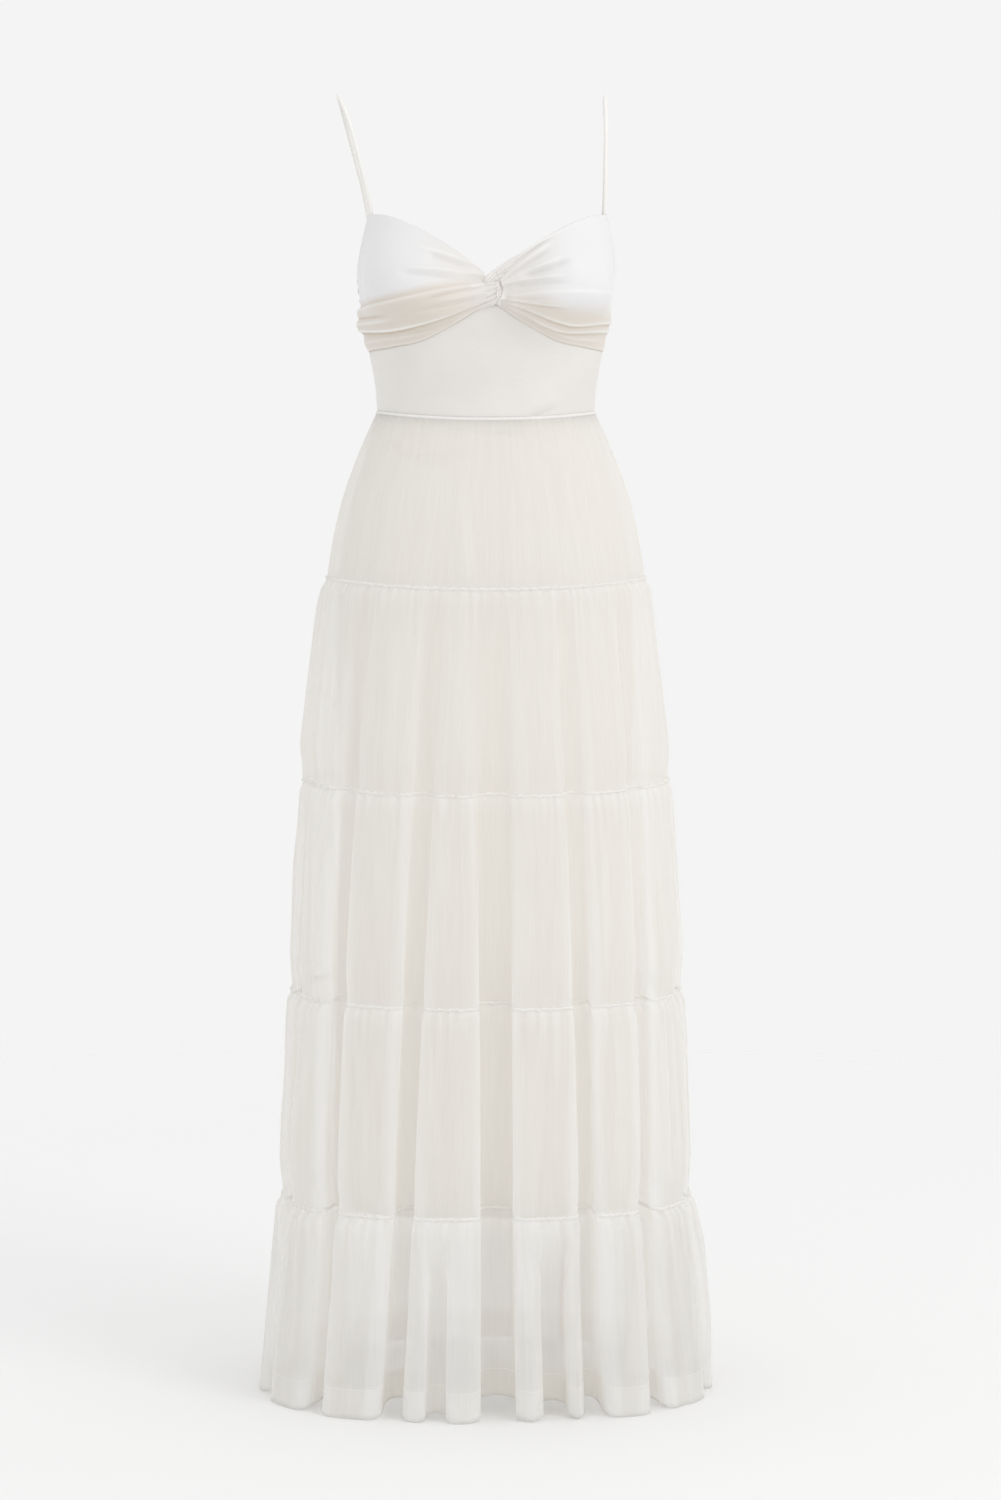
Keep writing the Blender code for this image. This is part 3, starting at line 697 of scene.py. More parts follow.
def streaks(tree, along, across, lengthways, detail=2.0):
    """Fine uneven threads, drawn out along the cloth's length or its width."""
    uv = add(tree, "ShaderNodeTexCoord").outputs["UV"]
    scale = (1 / across, 1 / along, 1.0) if lengthways else (1 / along, 1 / across, 1.0)
    placed = add(tree, "ShaderNodeMapping", {"Vector": uv, "Scale": scale}).outputs["Vector"]
    return add(tree, "ShaderNodeTexNoise", {"Vector": placed, "Scale": 1.0, "Detail": detail}).outputs["Fac"]


def patches(tree, size):
    """Soft clouds of a size in metres, on object coordinates."""
    spot = add(tree, "ShaderNodeTexCoord").outputs["Object"]
    return add(tree, "ShaderNodeTexNoise", {"Vector": spot, "Scale": 1 / size, "Detail": 2.0}).outputs["Fac"]


def net(tree, pitch):
    """The grid of threads of a fine mesh, from 0 in its holes to 1 on its threads."""
    uv = add(tree, "ShaderNodeTexCoord").outputs["UV"]
    waves = []
    for direction in ("X", "Y"):
        wave = add(tree, "ShaderNodeTexWave",
                   {"Vector": uv, "Scale": math.pi / 10 / pitch, "Distortion": 0.0},
                   wave_type="BANDS", bands_direction=direction, wave_profile="SIN")
        waves.append(wave.outputs["Fac"])
    return add(tree, "ShaderNodeMath", {0: waves[0], 1: waves[1]}, operation="MAXIMUM").outputs["Value"]


def ramp(tree, fac, low, high, from_low=0.3, from_high=0.7):
    """A number that follows another between two values."""
    return add(tree, "ShaderNodeMapRange", {"Value": fac, "From Min": from_low, "From Max": from_high,
                                            "To Min": low, "To Max": high}).outputs["Result"]


def blend_colour(tree, fac, first, second):
    new = add(tree, "ShaderNodeMix", data_type="RGBA", blend_type="MIX")
    for index, value in ((0, fac), (6, first), (7, second)):
        if isinstance(value, bpy.types.NodeSocket):
            tree.links.new(value, new.inputs[index])
        else:
            new.inputs[index].default_value = value
    return new.outputs[2]


def value_of(tree, name):
    return add(tree, "ShaderNodeAttribute", attribute_name=name, attribute_type="GEOMETRY").outputs["Fac"]


def bumped(tree, heights):
    """A normal from several heights, each with its strength and depth."""
    normal = None
    for height, strength, depth in heights:
        inputs = {"Height": height, "Strength": strength, "Distance": depth}
        if normal is not None:
            inputs["Normal"] = normal
        normal = add(tree, "ShaderNodeBump", inputs).outputs["Normal"]
    return normal


IVORY_LIGHT = (0.975, 0.968, 0.952, 1)
IVORY_SHADE = (0.966, 0.956, 0.934, 1)
IVORY_WARM = (0.966, 0.948, 0.912, 1)
# Painted shade: the net's colour deep in the skirt's folds.
IVORY_RECESS_SHADE = (0.950, 0.920, 0.872, 1)
# Painted highlight: the net's colour along the crests of its folds.
IVORY_CREST_HIGHLIGHT = (0.990, 0.986, 0.976, 1)
SEAM_LIGHT = (0.985, 0.980, 0.965, 1)
SEAM_SHADE = (0.960, 0.950, 0.925, 1)
BODICE_LIGHT = (0.802, 0.780, 0.745, 1)
BODICE_SHADE = (0.778, 0.752, 0.714, 1)
CUP_WHITE = (0.840, 0.838, 0.843, 1)
DRAPE_LIGHT = (0.765, 0.716, 0.652, 1)
DRAPE_SHADE = (0.728, 0.672, 0.604, 1)
# Painted ochre shade in the creases of the folded bust panels.
DRAPE_CREASE_SHADE = (0.590, 0.490, 0.370, 1)
# Painted shade in the creases of the midriff and back.
BODICE_CREASE_SHADE = (0.740, 0.712, 0.672, 1)
CUP_SHADE = (0.700, 0.705, 0.730, 1)
# Painted highlight on the ridges of the bust panels.
CREST_HIGHLIGHT = (0.930, 0.920, 0.892, 1)
LINING_LIGHT = (0.865, 0.842, 0.800, 1)
LINING_SHADE = (0.845, 0.818, 0.772, 1)
STRAP_LIGHT = (0.930, 0.915, 0.885, 1)
STRAP_SHADE = (0.890, 0.870, 0.832, 1)
THREAD_LIGHT = (0.955, 0.945, 0.915, 1)
THREAD_SHADE = (0.900, 0.880, 0.835, 1)

# How much closer the net is where it is gathered, and the shares of light that come through as a glow.
GATHERED_COVER = 0.22
TIER_GLOW = 0.44
SEAM_GLOW = 0.4
WAIST_SEAM_GLOW = 0.16


def sheer_mesh():
    """The skirt's net: fine, a little crinkled lengthways, and see-through where it lies in one layer."""
    material, tree = start_material("sheer_mesh")
    crinkle = streaks(tree, 0.060, 0.0013, True, 3.0)
    broad = streaks(tree, 0.20, 0.016, True)
    cloud = patches(tree, 0.09)
    threads = net(tree, 0.00075)
    close = value_of(tree, "gathered")
    colour = blend_colour(tree, ramp(tree, crinkle, 0, 1), IVORY_SHADE, IVORY_LIGHT)
    colour = blend_colour(tree, ramp(tree, cloud, 0.0, 0.30), colour, IVORY_WARM)
    # Painted shade: the net is darkened and warmed deep in the folds.
    colour = blend_colour(tree, value_of(tree, "recess_shade"), colour, IVORY_RECESS_SHADE)
    # Painted highlight: the net is lightened along the crests of its folds.
    colour = blend_colour(tree, value_of(tree, "crest"), colour, IVORY_CREST_HIGHLIGHT)
    cover = ramp(tree, crinkle, 0.47, 0.52)
    for part in (ramp(tree, broad, -0.03, 0.03), ramp(tree, threads, -0.05, 0.03, 0, 1)):
        cover = add(tree, "ShaderNodeMath", {0: cover, 1: part}, operation="ADD").outputs["Value"]
    cover = add(tree, "ShaderNodeMath", {0: close, 1: GATHERED_COVER, 2: cover}, operation="MULTIPLY_ADD",
                use_clamp=True).outputs["Value"]
    normal = bumped(tree, ((crinkle, 0.10, 0.0003), (threads, 0.20, 0.0002)))
    cloth = cloth_surface(tree, colour, 0.62, normal, 0.18, 0.45, Alpha=cover)
    end_material(tree, cloth, TIER_GLOW, {"Color": colour, "Normal": normal})
    return material


def seam_mesh(name, through):
    """The gathered cloth of a seam, several layers deep, with the share of light that it lets through."""
    material, tree = start_material(name)
    crinkle = streaks(tree, 0.006, 0.0012, True, 3.0)
    colour = blend_colour(tree, ramp(tree, crinkle, 0, 1), SEAM_SHADE, SEAM_LIGHT)
    normal = bumped(tree, ((crinkle, 0.7, 0.0006),))
    end_material(tree, cloth_surface(tree, colour, 0.7, normal, 0.15), through, {"Color": colour})
    return material


def bodice_mesh():
    """The stretched midriff and back: smooth, with fine threads across."""
    material, tree = start_material("bodice_mesh")
    across = streaks(tree, 0.022, 0.0007, False, 3.0)
    broad = streaks(tree, 0.070, 0.0040, False)
    cloud = patches(tree, 0.08)
    threads = net(tree, 0.00065)
    colour = blend_colour(tree, ramp(tree, across, 0, 1), BODICE_SHADE, BODICE_LIGHT)
    colour = blend_colour(tree, ramp(tree, cloud, 0.0, 0.25), colour, IVORY_WARM)
    # Painted shade: darker where the cloth lies in a crease.
    colour = blend_colour(tree, value_of(tree, "hollow"), colour, BODICE_CREASE_SHADE)
    normal = bumped(tree, ((broad, 0.25, 0.0004), (across, 0.30, 0.0002), (threads, 0.15, 0.0001)))
    end_material(tree, cloth_surface(tree, colour, 0.58, normal, 0.20, 0.4))
    return material


def drape_mesh():
    """The bust panels: cool white over the cups and cream where the mesh is folded, with painted shade in the
    creases and painted highlights on the ridges.
    """
    material, tree = start_material("drape_mesh")
    threads = net(tree, 0.0006)
    lines = streaks(tree, 0.030, 0.0011, False, 3.0)
    cream = blend_colour(tree, ramp(tree, lines, 0, 1), DRAPE_SHADE, DRAPE_LIGHT)
    draped = value_of(tree, "draped")
    colour = blend_colour(tree, draped, CUP_WHITE, cream)
    # Painted highlight on the ridges.
    colour = blend_colour(tree, value_of(tree, "crest"), colour, CREST_HIGHLIGHT)
    # Painted shade in the creases: ochre where the mesh is folded, cool grey over the cups.
    shade = blend_colour(tree, draped, CUP_SHADE, DRAPE_CREASE_SHADE)
    colour = blend_colour(tree, value_of(tree, "hollow"), colour, shade)
    normal = bumped(tree, ((lines, 0.22, 0.0003), (threads, 0.12, 0.0001)))
    end_material(tree, cloth_surface(tree, colour, 0.50, normal, 0.25, 0.35))
    return material


def knitted(name, shade, light, pitch, roughness, relief):
    """A fine jersey with its ribs lengthways."""
    material, tree = start_material(name)
    uv = add(tree, "ShaderNodeTexCoord").outputs["UV"]
    ribs = add(tree, "ShaderNodeTexWave",
               {"Vector": uv, "Scale": math.pi / 10 / pitch, "Distortion": 0.6, "Detail": 1.0},
               wave_type="BANDS", bands_direction="X").outputs["Fac"]
    streak = streaks(tree, 0.05, 0.003, True)
    colour = blend_colour(tree, ramp(tree, streak, 0, 1), shade, light)
    normal = bumped(tree, ((streak, relief / 2, 0.0004), (ribs, relief, 0.00015)))
    end_material(tree, cloth_surface(tree, colour, roughness, normal, 0.15))
    return material


def thread():
    """Sewing thread, with a fine twist."""
    material, tree = start_material("thread")
    spot = add(tree, "ShaderNodeTexCoord").outputs["Object"]
    twist = add(tree, "ShaderNodeTexWave", {"Vector": spot, "Scale": 700.0, "Distortion": 1.5},
                bands_direction="DIAGONAL").outputs["Fac"]
    colour = blend_colour(tree, twist, THREAD_SHADE, THREAD_LIGHT)
    normal = bumped(tree, ((twist, 0.4, 0.0001),))
    end_material(tree, cloth_surface(tree, colour, 0.5, normal, 0.1))
    return material


SHEER = sheer_mesh()
SEAM = seam_mesh("seam_mesh", SEAM_GLOW)
WAIST_SEAM = seam_mesh("waist_seam_mesh", WAIST_SEAM_GLOW)
BODICE = bodice_mesh()
DRAPE = drape_mesh()
LINING = knitted("lining_jersey", LINING_SHADE, LINING_LIGHT, 0.0011, 0.66, 0.4)
STRAP = knitted("strap_jersey", STRAP_SHADE, STRAP_LIGHT, 0.0009, 0.55, 0.08)
THREAD = thread()

# The skirt's tiers

HEM_TURN_UP = 0.033
TURN_UP_ROWS = 8
TURN_UP_GAP = 0.0010
STEEP_WALL = 0.80
# How strongly shade is painted into the deep folds of the net.
RECESS_SHADE_TINT = 0.42
CREST_REACH = 4
CREST_FULL = 0.0009
LOWEST_OPEN = 0.60


def skirt_tier(tier):
    """One sheer tier, all the way round. The lowest one turns up inside at its hem."""
    turns = even_turns(tier, 2 * TIER_COLUMNS)
    shares = np.linspace(0, 1, tier.rows) ** 1.3
    out = np.zeros_like(shares)
    if tier.bottom is HEM:
        up = np.linspace(0, 1, TURN_UP_ROWS)
        shares = np.concatenate([shares, 1 - up * HEM_TURN_UP / (tier.top.height - tier.bottom.height)])
        out = np.concatenate([out, -TURN_UP_GAP * smooth(0.25 + up * 3)])
    turn, share = np.meshgrid(turns, shares)
    points = tier_points(tier, turn, share, out[:, None])
    girth = np.mean([arc_length(row, True) for row in points[:: len(points) // 6]])
    drop = np.mean([arc_length(points[:, k], False) for k in range(0, len(turns), 40)])
    rows, columns = turn.shape
    uv = cloth_uv(columns, rows, girth, 1.0, True)
    uv[..., 1] = (1 - shares[:, None]) * (tier.top.height - tier.bottom.height)
    across = np.roll(points, -1, axis=1) - np.roll(points, 1, axis=1)
    facing = unit(np.cross(across, np.gradient(points, axis=0)))
    outwards = unit(tier_points(tier, turn, share, out[:, None] + MM) - points)
    steep = smooth((STEEP_WALL - np.abs((facing * outwards).sum(-1))) / STEEP_WALL)
    gathered = np.exp(-share / 0.05) + 0.9 * (out[:, None] < 0) + steep
    # Painted shade, strongest deep in the folds, and none on the first tier.
    recess_shade = RECESS_SHADE_TINT * smooth(deep_fold(turn, mix(tier.top.height, tier.bottom.height, share)) * 1.2)
    recess_shade = recess_shade * smooth(share / 0.10) * (0.0 if tier.top is WAIST else 1.0)
    if tier.bottom is HEM:
        gathered = gathered - LOWEST_OPEN
    stands = tier_out(tier, turn, share)
    # Crests get a painted highlight in the finish, and the net is also made denser there.
    crest = np.clip((stands - softened(stands, CREST_REACH, 1)) / CREST_FULL, 0, 1)
    gathered = np.clip(gathered + 0.5 * crest, -1, 1)
    values = {"gathered": gathered, "recess_shade": np.clip(recess_shade, 0, 1), "crest": crest}
    mesh = single_cloth(tier.name, points, uv, values)
    return place(tier.name, mesh, SHEER, "mesh", halves(tier.name)), girth, drop


# The seams of the skirt

FRILL_STEPS = 5
FRILL_COLUMNS = 620
FRILL_STANDS = (0.0009, 0.0028, 0.0026, 0.0028, 0.0030)
FRILL_TALLS = (0.0018, 0.0020, 0.0019, 0.0020, 0.0021)
FRILL_ROLL = 0.62 * math.pi
FRILL_RIPPLE = 0.38


def seam_frill(name, tier, seed, stands, tall, uneven):
    """The narrow uneven edge along the top of a tier, where its gathers are caught by the seam."""
    random = np.random.default_rng(seed)
    count = 2 * FRILL_COLUMNS
    turns = np.linspace(-math.pi, math.pi, count, endpoint=False)
    ripple = np.zeros(count)
    rise = np.zeros(count)
    for waves, share in ((tier.gathers, 1.0), (tier.gathers * 2 + 7, 0.6), (tier.gathers * 3 + 5, 0.35)):
        phases = random.uniform(0, FULL_TURN, 3)
        wander = 1.3 * np.sin(3 * turns + phases[1]) + 0.8 * np.sin(11 * turns + phases[2])
        ripple += share * np.sin(waves * turns + phases[0] + wander)
        rise += share * np.sin(waves * turns + phases[2] - wander)
    ripple = 1 - FRILL_RIPPLE * uneven * (1 - ripple / np.abs(ripple).max())
    rise = uneven * rise / np.abs(rise).max()
    angles = np.linspace(-FRILL_ROLL, FRILL_ROLL, FRILL_STEPS)
    top = tier_points(tier, turns, np.zeros(count))
    out_way = unit(tier_points(tier, turns, np.zeros(count), MM) - top)
    rows = []
    for angle in angles:
        reach = stands * np.cos(angle) * ripple
        drop = tall * (np.sin(angle) * (0.8 + 0.2 * ripple) + 0.25 * rise)
        row = top + out_way * reach[:, None]
        row[:, 2] -= drop
        rows.append(row)
    points = np.stack(rows)
    girth = arc_length(points[2], True)
    uv = cloth_uv(count, FRILL_STEPS, girth, 4 * tall, True)
    material = WAIST_SEAM if tier.top is WAIST else SEAM
    return place(name, single_cloth(name, points, uv), material, "mesh", halves(tier.name))


# The lining

LINING_TOP = (
    Ring(1.0620, 0.1172, 0.0885, 0.0865),
    Ring(1.0530, 0.1216, 0.0921, 0.0912),
)
LINING_ROWS = 46
LINING_COLUMNS = 220
LINING_HEM = 0.020


def lining_points(turn, height, out=0.0):
    """Points of the straight lining, with a few slack waves lower down."""
    low = smooth((0.95 - height) / 0.55)
    slack = 0.0028 * np.sin(5 * turn + 2.1 * np.sin(turn) + 1.2 * height)
    slack = slack + 0.0018 * np.sin(9 * turn - 3 * height)
    x, y = moved_out(*ring_sizes(LINING_TOP + LINING_RINGS, height), turn, slack * low - 0.0030 * low + out)
    return stacked(x, y, height + 0.008 * np.sin(turn) ** 2 * smooth((height - 0.95) / 0.11))


def lining():
    turns = np.linspace(-math.pi, math.pi, LINING_COLUMNS, endpoint=False)
    bottom = LINING_RINGS[-1].height
    heights = mix(LINING_TOP[0].height, bottom, np.linspace(0, 1, LINING_ROWS))
    heights = np.sort(np.append(heights, (bottom + LINING_HEM, bottom + LINING_HEM + 0.001)))[::-1]
    turn, height = np.meshgrid(turns, heights)
    doubled = 0.0006 * smooth((bottom + LINING_HEM + 0.0006 - height) / 0.0008)
    outer = lining_points(turn, height, doubled)
    inner = lining_points(turn, height, -CLOTH - doubled)
    girth = arc_length(outer[len(heights) // 2], True)
    length = LINING_TOP[0].height - bottom
    uv = cloth_uv(len(turns), len(heights), girth, length, True)
    uv[..., 1] = heights[:, None]
    mesh = cloth_shell("lining", outer, inner, uv, closed=True)
    return place("lining", mesh, LINING, "lining", halves("lining")), girth, length


# The bodice

SIDE_TUCK = 0.0010
SIDE_TUCK_TURN = math.radians(0.9)
SHIRRING_PITCH = 0.0107
SHIRRING_FROM = 1.148
SHIRRING_PUFF = 0.0017
MIDRIFF_GRID = (220, 52)
BACK_GRID = (200, 96)
PANEL_GRID = (224, 150)
PANEL_STAND = 0.0012
TUCKED_UNDER = 0.006


def side_tuck(turn):
    """The small dip of the cloth at the side seams."""
    return -SIDE_TUCK * np.exp(-((np.abs(np.abs(turn) - QUARTER) / SIDE_TUCK_TURN) ** 2))


def waist_edge(turn):
    return seam_height(WAIST, turn)


def bodice_cloth(name, turn, height, out, draped, material, slot, nodes):
    """A bodice piece as a wall of cloth, from grids of turn, height and how far it stands out."""
    outer = bodice_points(turn, height, out)
    inner = bodice_points(turn, height, out * 0.6 - CLOTH)
    width = max(arc_length(row, False) for row in outer[:: len(outer) // 4])
    length = max(arc_length(outer[:, k], False) for k in range(0, outer.shape[1], 12))
    rows, columns = turn.shape
    uv = cloth_uv(columns, rows, width, length, False)
    # Values for the finish: painted shade in the creases and a painted highlight on the ridges.
    folded = out - side_tuck(turn)
    soft_shade = mix(1.0, 0.75, draped) * hollows(folded, 8, 0.0020)
    values = {"hollow": np.maximum(hollows(folded), soft_shade), "draped": draped, "crest": crests(folded)}
    mesh = cloth_shell(name, outer, inner, uv, values=values)
    area = sum(face.area for face in mesh.polygons) / 2
    return place(name, mesh, material, slot, nodes), width, length, area


def midriff():
    turns = np.linspace(-QUARTER, QUARTER, MIDRIFF_GRID[0])
    shares = np.linspace(0, 1, MIDRIFF_GRID[1])
    turn, share = np.meshgrid(turns, shares)
    edge = edge_height(UNDERBUST, turn)
    height = mix(edge + TUCKED_UNDER, waist_edge(turn), share)
    x, _y, z = np.moveaxis(bodice_points(turn, height), -1, 0)
    out = side_tuck(turn) + crease_out(MIDRIFF_CREASES, x, z + SHOULDER_HEIGHT)
    out -= 0.0020 * smooth((height - edge) / 0.004 + 0.35)
    return bodice_cloth("midriff", turn, height, out, np.ones_like(out), BODICE, "bodice", ("midriff_front",))


def back():
    """The back, drawn in by rows of elastic across its upper part."""
    turns = np.linspace(QUARTER, 3 * QUARTER, BACK_GRID[0])
    shares = np.linspace(0, 1, BACK_GRID[1])
    turn, share = np.meshgrid(turns, shares)
    height = mix(BACK_TOP_HEIGHT, waist_edge(turn), share)
    row = (BACK_TOP_HEIGHT - height) / SHIRRING_PITCH
    shirred = smooth((height - SHIRRING_FROM) / 0.008)
    number = np.floor(row)
    wobble = np.sin(96 * turn + 2.4 * number + 1.5 * np.sin(17 * turn + number))
    puffs = np.abs(np.sin(math.pi * row)) ** 0.8 * (SHIRRING_PUFF + 0.0006 * wobble)
    below = 0.0005 * np.sin(96 * turn + 2.4 * 6) * np.exp(-((SHIRRING_FROM - height) / 0.02) ** 2)
    out = side_tuck(turn) + puffs * shirred + below * (1 - shirred)
    return bodice_cloth("back", turn, height, out, np.ones_like(out), BODICE, "bodice", ("bodice_back",))


CUP_LINE_RIGHT = np.array(((-0.150, 1.181), (-0.113, 1.186), (-0.087, 1.192), (-0.056, 1.199), (0.0, 1.206)))
CUP_LINE_LEFT = np.array(((0.0, 1.196), (0.050, 1.1800), (0.085, 1.1690), (0.150, 1.1720)))
CUP_EDGE_RIGHT = 0.011
CUP_EDGE_LEFT = 0.020
ABOVE_TWIST = 0.34
KNOT_PLACE = (0.002, 1.200)
KNOT_REACH = 0.030
KNOT_DRAPED = 0.50


def above_line(line, edge, x, height):
    """1 well above a line of places and 0 below it, blended over an edge."""
    return smooth((height - through(line[:, 0], line[:, 1], x)) / edge)


def draped_share(x, height):
    """1 in the band of folds under the bust, less in the folds above the twist, and 0 smooth over a cup."""
    above_right = above_line(CUP_LINE_RIGHT, CUP_EDGE_RIGHT, x, height)
    above_left = above_line(CUP_LINE_LEFT, CUP_EDGE_LEFT, x, height)
    outwards = smooth((np.abs(x) - 0.040) / 0.050)
    draped = 1 - np.where(x < 0, above_right, above_left) * (1 - ABOVE_TWIST * (1 - outwards))
    near_knot = np.exp(-((x - KNOT_PLACE[0]) ** 2 + (height - KNOT_PLACE[1]) ** 2) / KNOT_REACH**2)
    return mix(draped, KNOT_DRAPED, near_knot)


def bust_panel(name, node, side):
    """A bust panel, from the twist to the side seam and armhole, with its creases."""
    along, across = np.meshgrid(np.linspace(0, 1, PANEL_GRID[0]) ** 1.15, np.linspace(1, 0, PANEL_GRID[1]))
    turn, height = panel_place(along, across)
    turn = side * turn
    if side < 0:
        turn, height, along, across = (grid[:, ::-1] for grid in (turn, height, along, across))
    x, _y, z = np.moveaxis(bodice_points(turn, height), -1, 0)
    out = PANEL_STAND + side_tuck(turn) + crease_out(BUST_CREASES, x, z + SHOULDER_HEIGHT)
    out *= smooth(across / 0.02 + 0.35)
    draped = draped_share(x, z + SHOULDER_HEIGHT)
    return bodice_cloth(name, turn, height, out, draped, DRAPE, "drape", (node,))


# The twist. Each panel's folds run together into a loop that turns over the other panel. A loop's strands lie
# beside each other, each running from where it leaves the panel to where it turns under, and all rise off the
# panels in the same way.

def loop_strands(*rows):
    """A loop's strands, from rows of each place's x and height in millimetres."""
    return np.array(rows).reshape(len(rows), -1, 2) * MM


LOWER_TWIST = loop_strands(
    (-34, 1205, -20, 1206.5, -9, 1208, -1, 1208.2, 5, 1207.5, 8.5, 1209),
    (-33, 1192.5, -20, 1196, -8, 1199.8, 1, 1202.6, 6.8, 1205, 9.2, 1208.5),
    (-32, 1182, -19, 1186.5, -7, 1191.2, 3, 1196.2, 8.4, 1201, 10, 1206.5),
    (-31, 1174.5, -18, 1180, -6, 1185.2, 4, 1190.8, 9.8, 1197.2, 11, 1204.5),
    (-36, 1169, -18, 1175.8, -6, 1180.6, 4.6, 1183.4, 10.6, 1190.5, 12.2, 1199),
)
UPPER_TWIST = loop_strands(
    (34, 1239, 20, 1231.5, 8, 1223.5, -2, 1216.5, -7.4, 1210.5, -8.4, 1203.5),
    (36, 1234.5, 21, 1225.5, 9, 1218, 0.8, 1212, -4.2, 1206.8, -5, 1201),
    (38, 1229.5, 23, 1222.2, 11, 1215.8, 3.8, 1210.3, -0.6, 1205.8, -1.8, 1200.5),
    (39, 1223.2, 25, 1217.5, 13, 1212.2, 6.8, 1208.2, 3, 1205, 1.6, 1200),
    (40, 1214, 26, 1211.2, 16, 1208.2, 10.8, 1205.8, 7.2, 1203.6, 5.6, 1199),
)
TWIST_RISE = (-0.0012, 0.0004, 0.0028, 0.0058, 0.0064, 0.0005)
TWIST_RIBS = 5
ROLLED = 0.22
TWIST_RIB_DEPTH = 0.0008
TWIST_BACK = -0.0028
TWIST_GRID = (76, 60)


def turn_at(x, height):
    """The turn at which the bodice has an x, near the front."""
    turn = x / 0.1
    for _step in range(12):
        found = bodice_points(turn, height)[..., 0]
        turn = turn + (x - found) / 0.13
    return turn


def twist_loop(name, node, strands, falls, outwards):
    """One loop of the twist: rolled at one side, and falling away over a share of its width at the other."""
    steps, sides = (np.linspace(0, 1, count) for count in TWIST_GRID)
    keys = np.linspace(0, 1, strands.shape[1])
    spread = np.linspace(0, 1, len(strands))
    rows = np.stack([[through(keys, strand[:, k], steps) for k in (0, 1)] for strand in strands])
    x, height = (np.stack([through(spread, row, sides) for row in rows[:, k].T], 1) for k in (0, 1))
    across, along = np.meshgrid(sides, steps, indexing="ij")
    near, far = np.clip(across / ROLLED, 0, 1), np.clip((1 - across) / falls, 0, 1)
    rounded = np.sqrt(near * (2 - near)) * (smooth(far) if falls > ROLLED else np.sqrt(far * (2 - far)))
    rise = through(keys, TWIST_RISE, steps)[None, :]
    strand = np.abs(np.sin(math.pi * TWIST_RIBS * (across + 0.04 * np.sin(5 * along)))) ** 0.6
    ribs = TWIST_RIB_DEPTH * (2 * strand - 1)
    ribs = ribs * smooth(along / 0.4) * rounded
    creased = crease_out(BUST_CREASES, x, height)
    lifted = PANEL_STAND + creased * smooth((0.75 - along) / 0.7) + rise * rounded + ribs
    out = mix(np.minimum(lifted, PANEL_STAND + creased - 0.0008), lifted, smooth(rounded / 0.5))
    if outwards:
        x, height, out = (grid[:, ::-1] for grid in (x, height, out))
    turn = turn_at(x, height)
    outer = bodice_points(turn, height, out)
    inner = bodice_points(turn, height, np.full_like(out, TWIST_BACK))
    uv = cloth_uv(len(steps), len(sides), 0.055, 0.030, False)
    # Painted shade in the creases and a painted highlight on the ridges, as on the panels.
    values = {"hollow": hollows(out) * 0.8, "draped": draped_share(x, height), "crest": crests(out)}
    mesh = cloth_shell(name, outer, inner, uv, values=values)
    return place(name, mesh, DRAPE, "drape", (node,))


# The straps

STRAP_SIDES = 14
STRAP_ROWS = 170
STRAP_SEWN = 0.013
STRAP_FRONT_TURN = math.radians(61.0)
STRAP_BACK_TURN = math.radians(122.3)


def strap(name, node, route, side):
    """A turned-through roll of cloth, sewn inside the bodice at both ends."""
    share = np.linspace(0, 1, STRAP_ROWS)
    keys = StrapPoint._fields[1:]
    line = np.stack([through(column(route, "share"), column(route, key), share) for key in keys], -1)
    inside = -CLOTH - STRAP_RADIUS
    ends = []
    for end, turn in ((line[0], side * STRAP_FRONT_TURN), (line[-1], side * STRAP_BACK_TURN)):
        low = bodice_points(np.array(turn), np.array(end[2] - STRAP_SEWN), inside)
        ends.append(low + (0, 0, SHOULDER_HEIGHT))
    line = np.concatenate([[ends[0]], line[1:-1], [ends[1]]])
    line[:, 2] -= SHOULDER_HEIGHT
    ahead = unit(np.gradient(line, axis=0))
    square = unit(np.cross(ahead, (1.0, 0.0, 0.0)))
    third = np.cross(ahead, square)
    turns = np.linspace(0, FULL_TURN, STRAP_SIDES, endpoint=False)
    seam = 1 - 0.16 * np.exp(-((np.abs(turns - 1.1) / 0.30) ** 2))
    radius = STRAP_RADIUS * (1 + 0.02 * np.sin(share * 53) * np.sin(share * 37))
    rings = line[:, None] + radius[:, None, None] * seam[None, :, None] * (
        np.cos(turns)[None, :, None] * square[:, None] + np.sin(turns)[None, :, None] * third[:, None]
    )
    rows, columns = rings.shape[:2]
    faces, corner_rows, corner_columns = grid_faces(rows, columns, True)
    length = arc_length(line, False)
    uv = cloth_uv(columns, rows, FULL_TURN * STRAP_RADIUS, length, True)[corner_rows, corner_columns]
    mesh = make_mesh(name, rings.reshape(-1, 3), faces, uv)
    shape = bmesh.new()
    shape.from_mesh(mesh)
    bmesh.ops.holes_fill(shape, edges=[edge for edge in shape.edges if edge.is_boundary])
    bmesh.ops.recalc_face_normals(shape, faces=shape.faces)
    shape.to_mesh(mesh)
    shape.free()
    return place(name, mesh, STRAP, "strap", (node,))


# The stitches

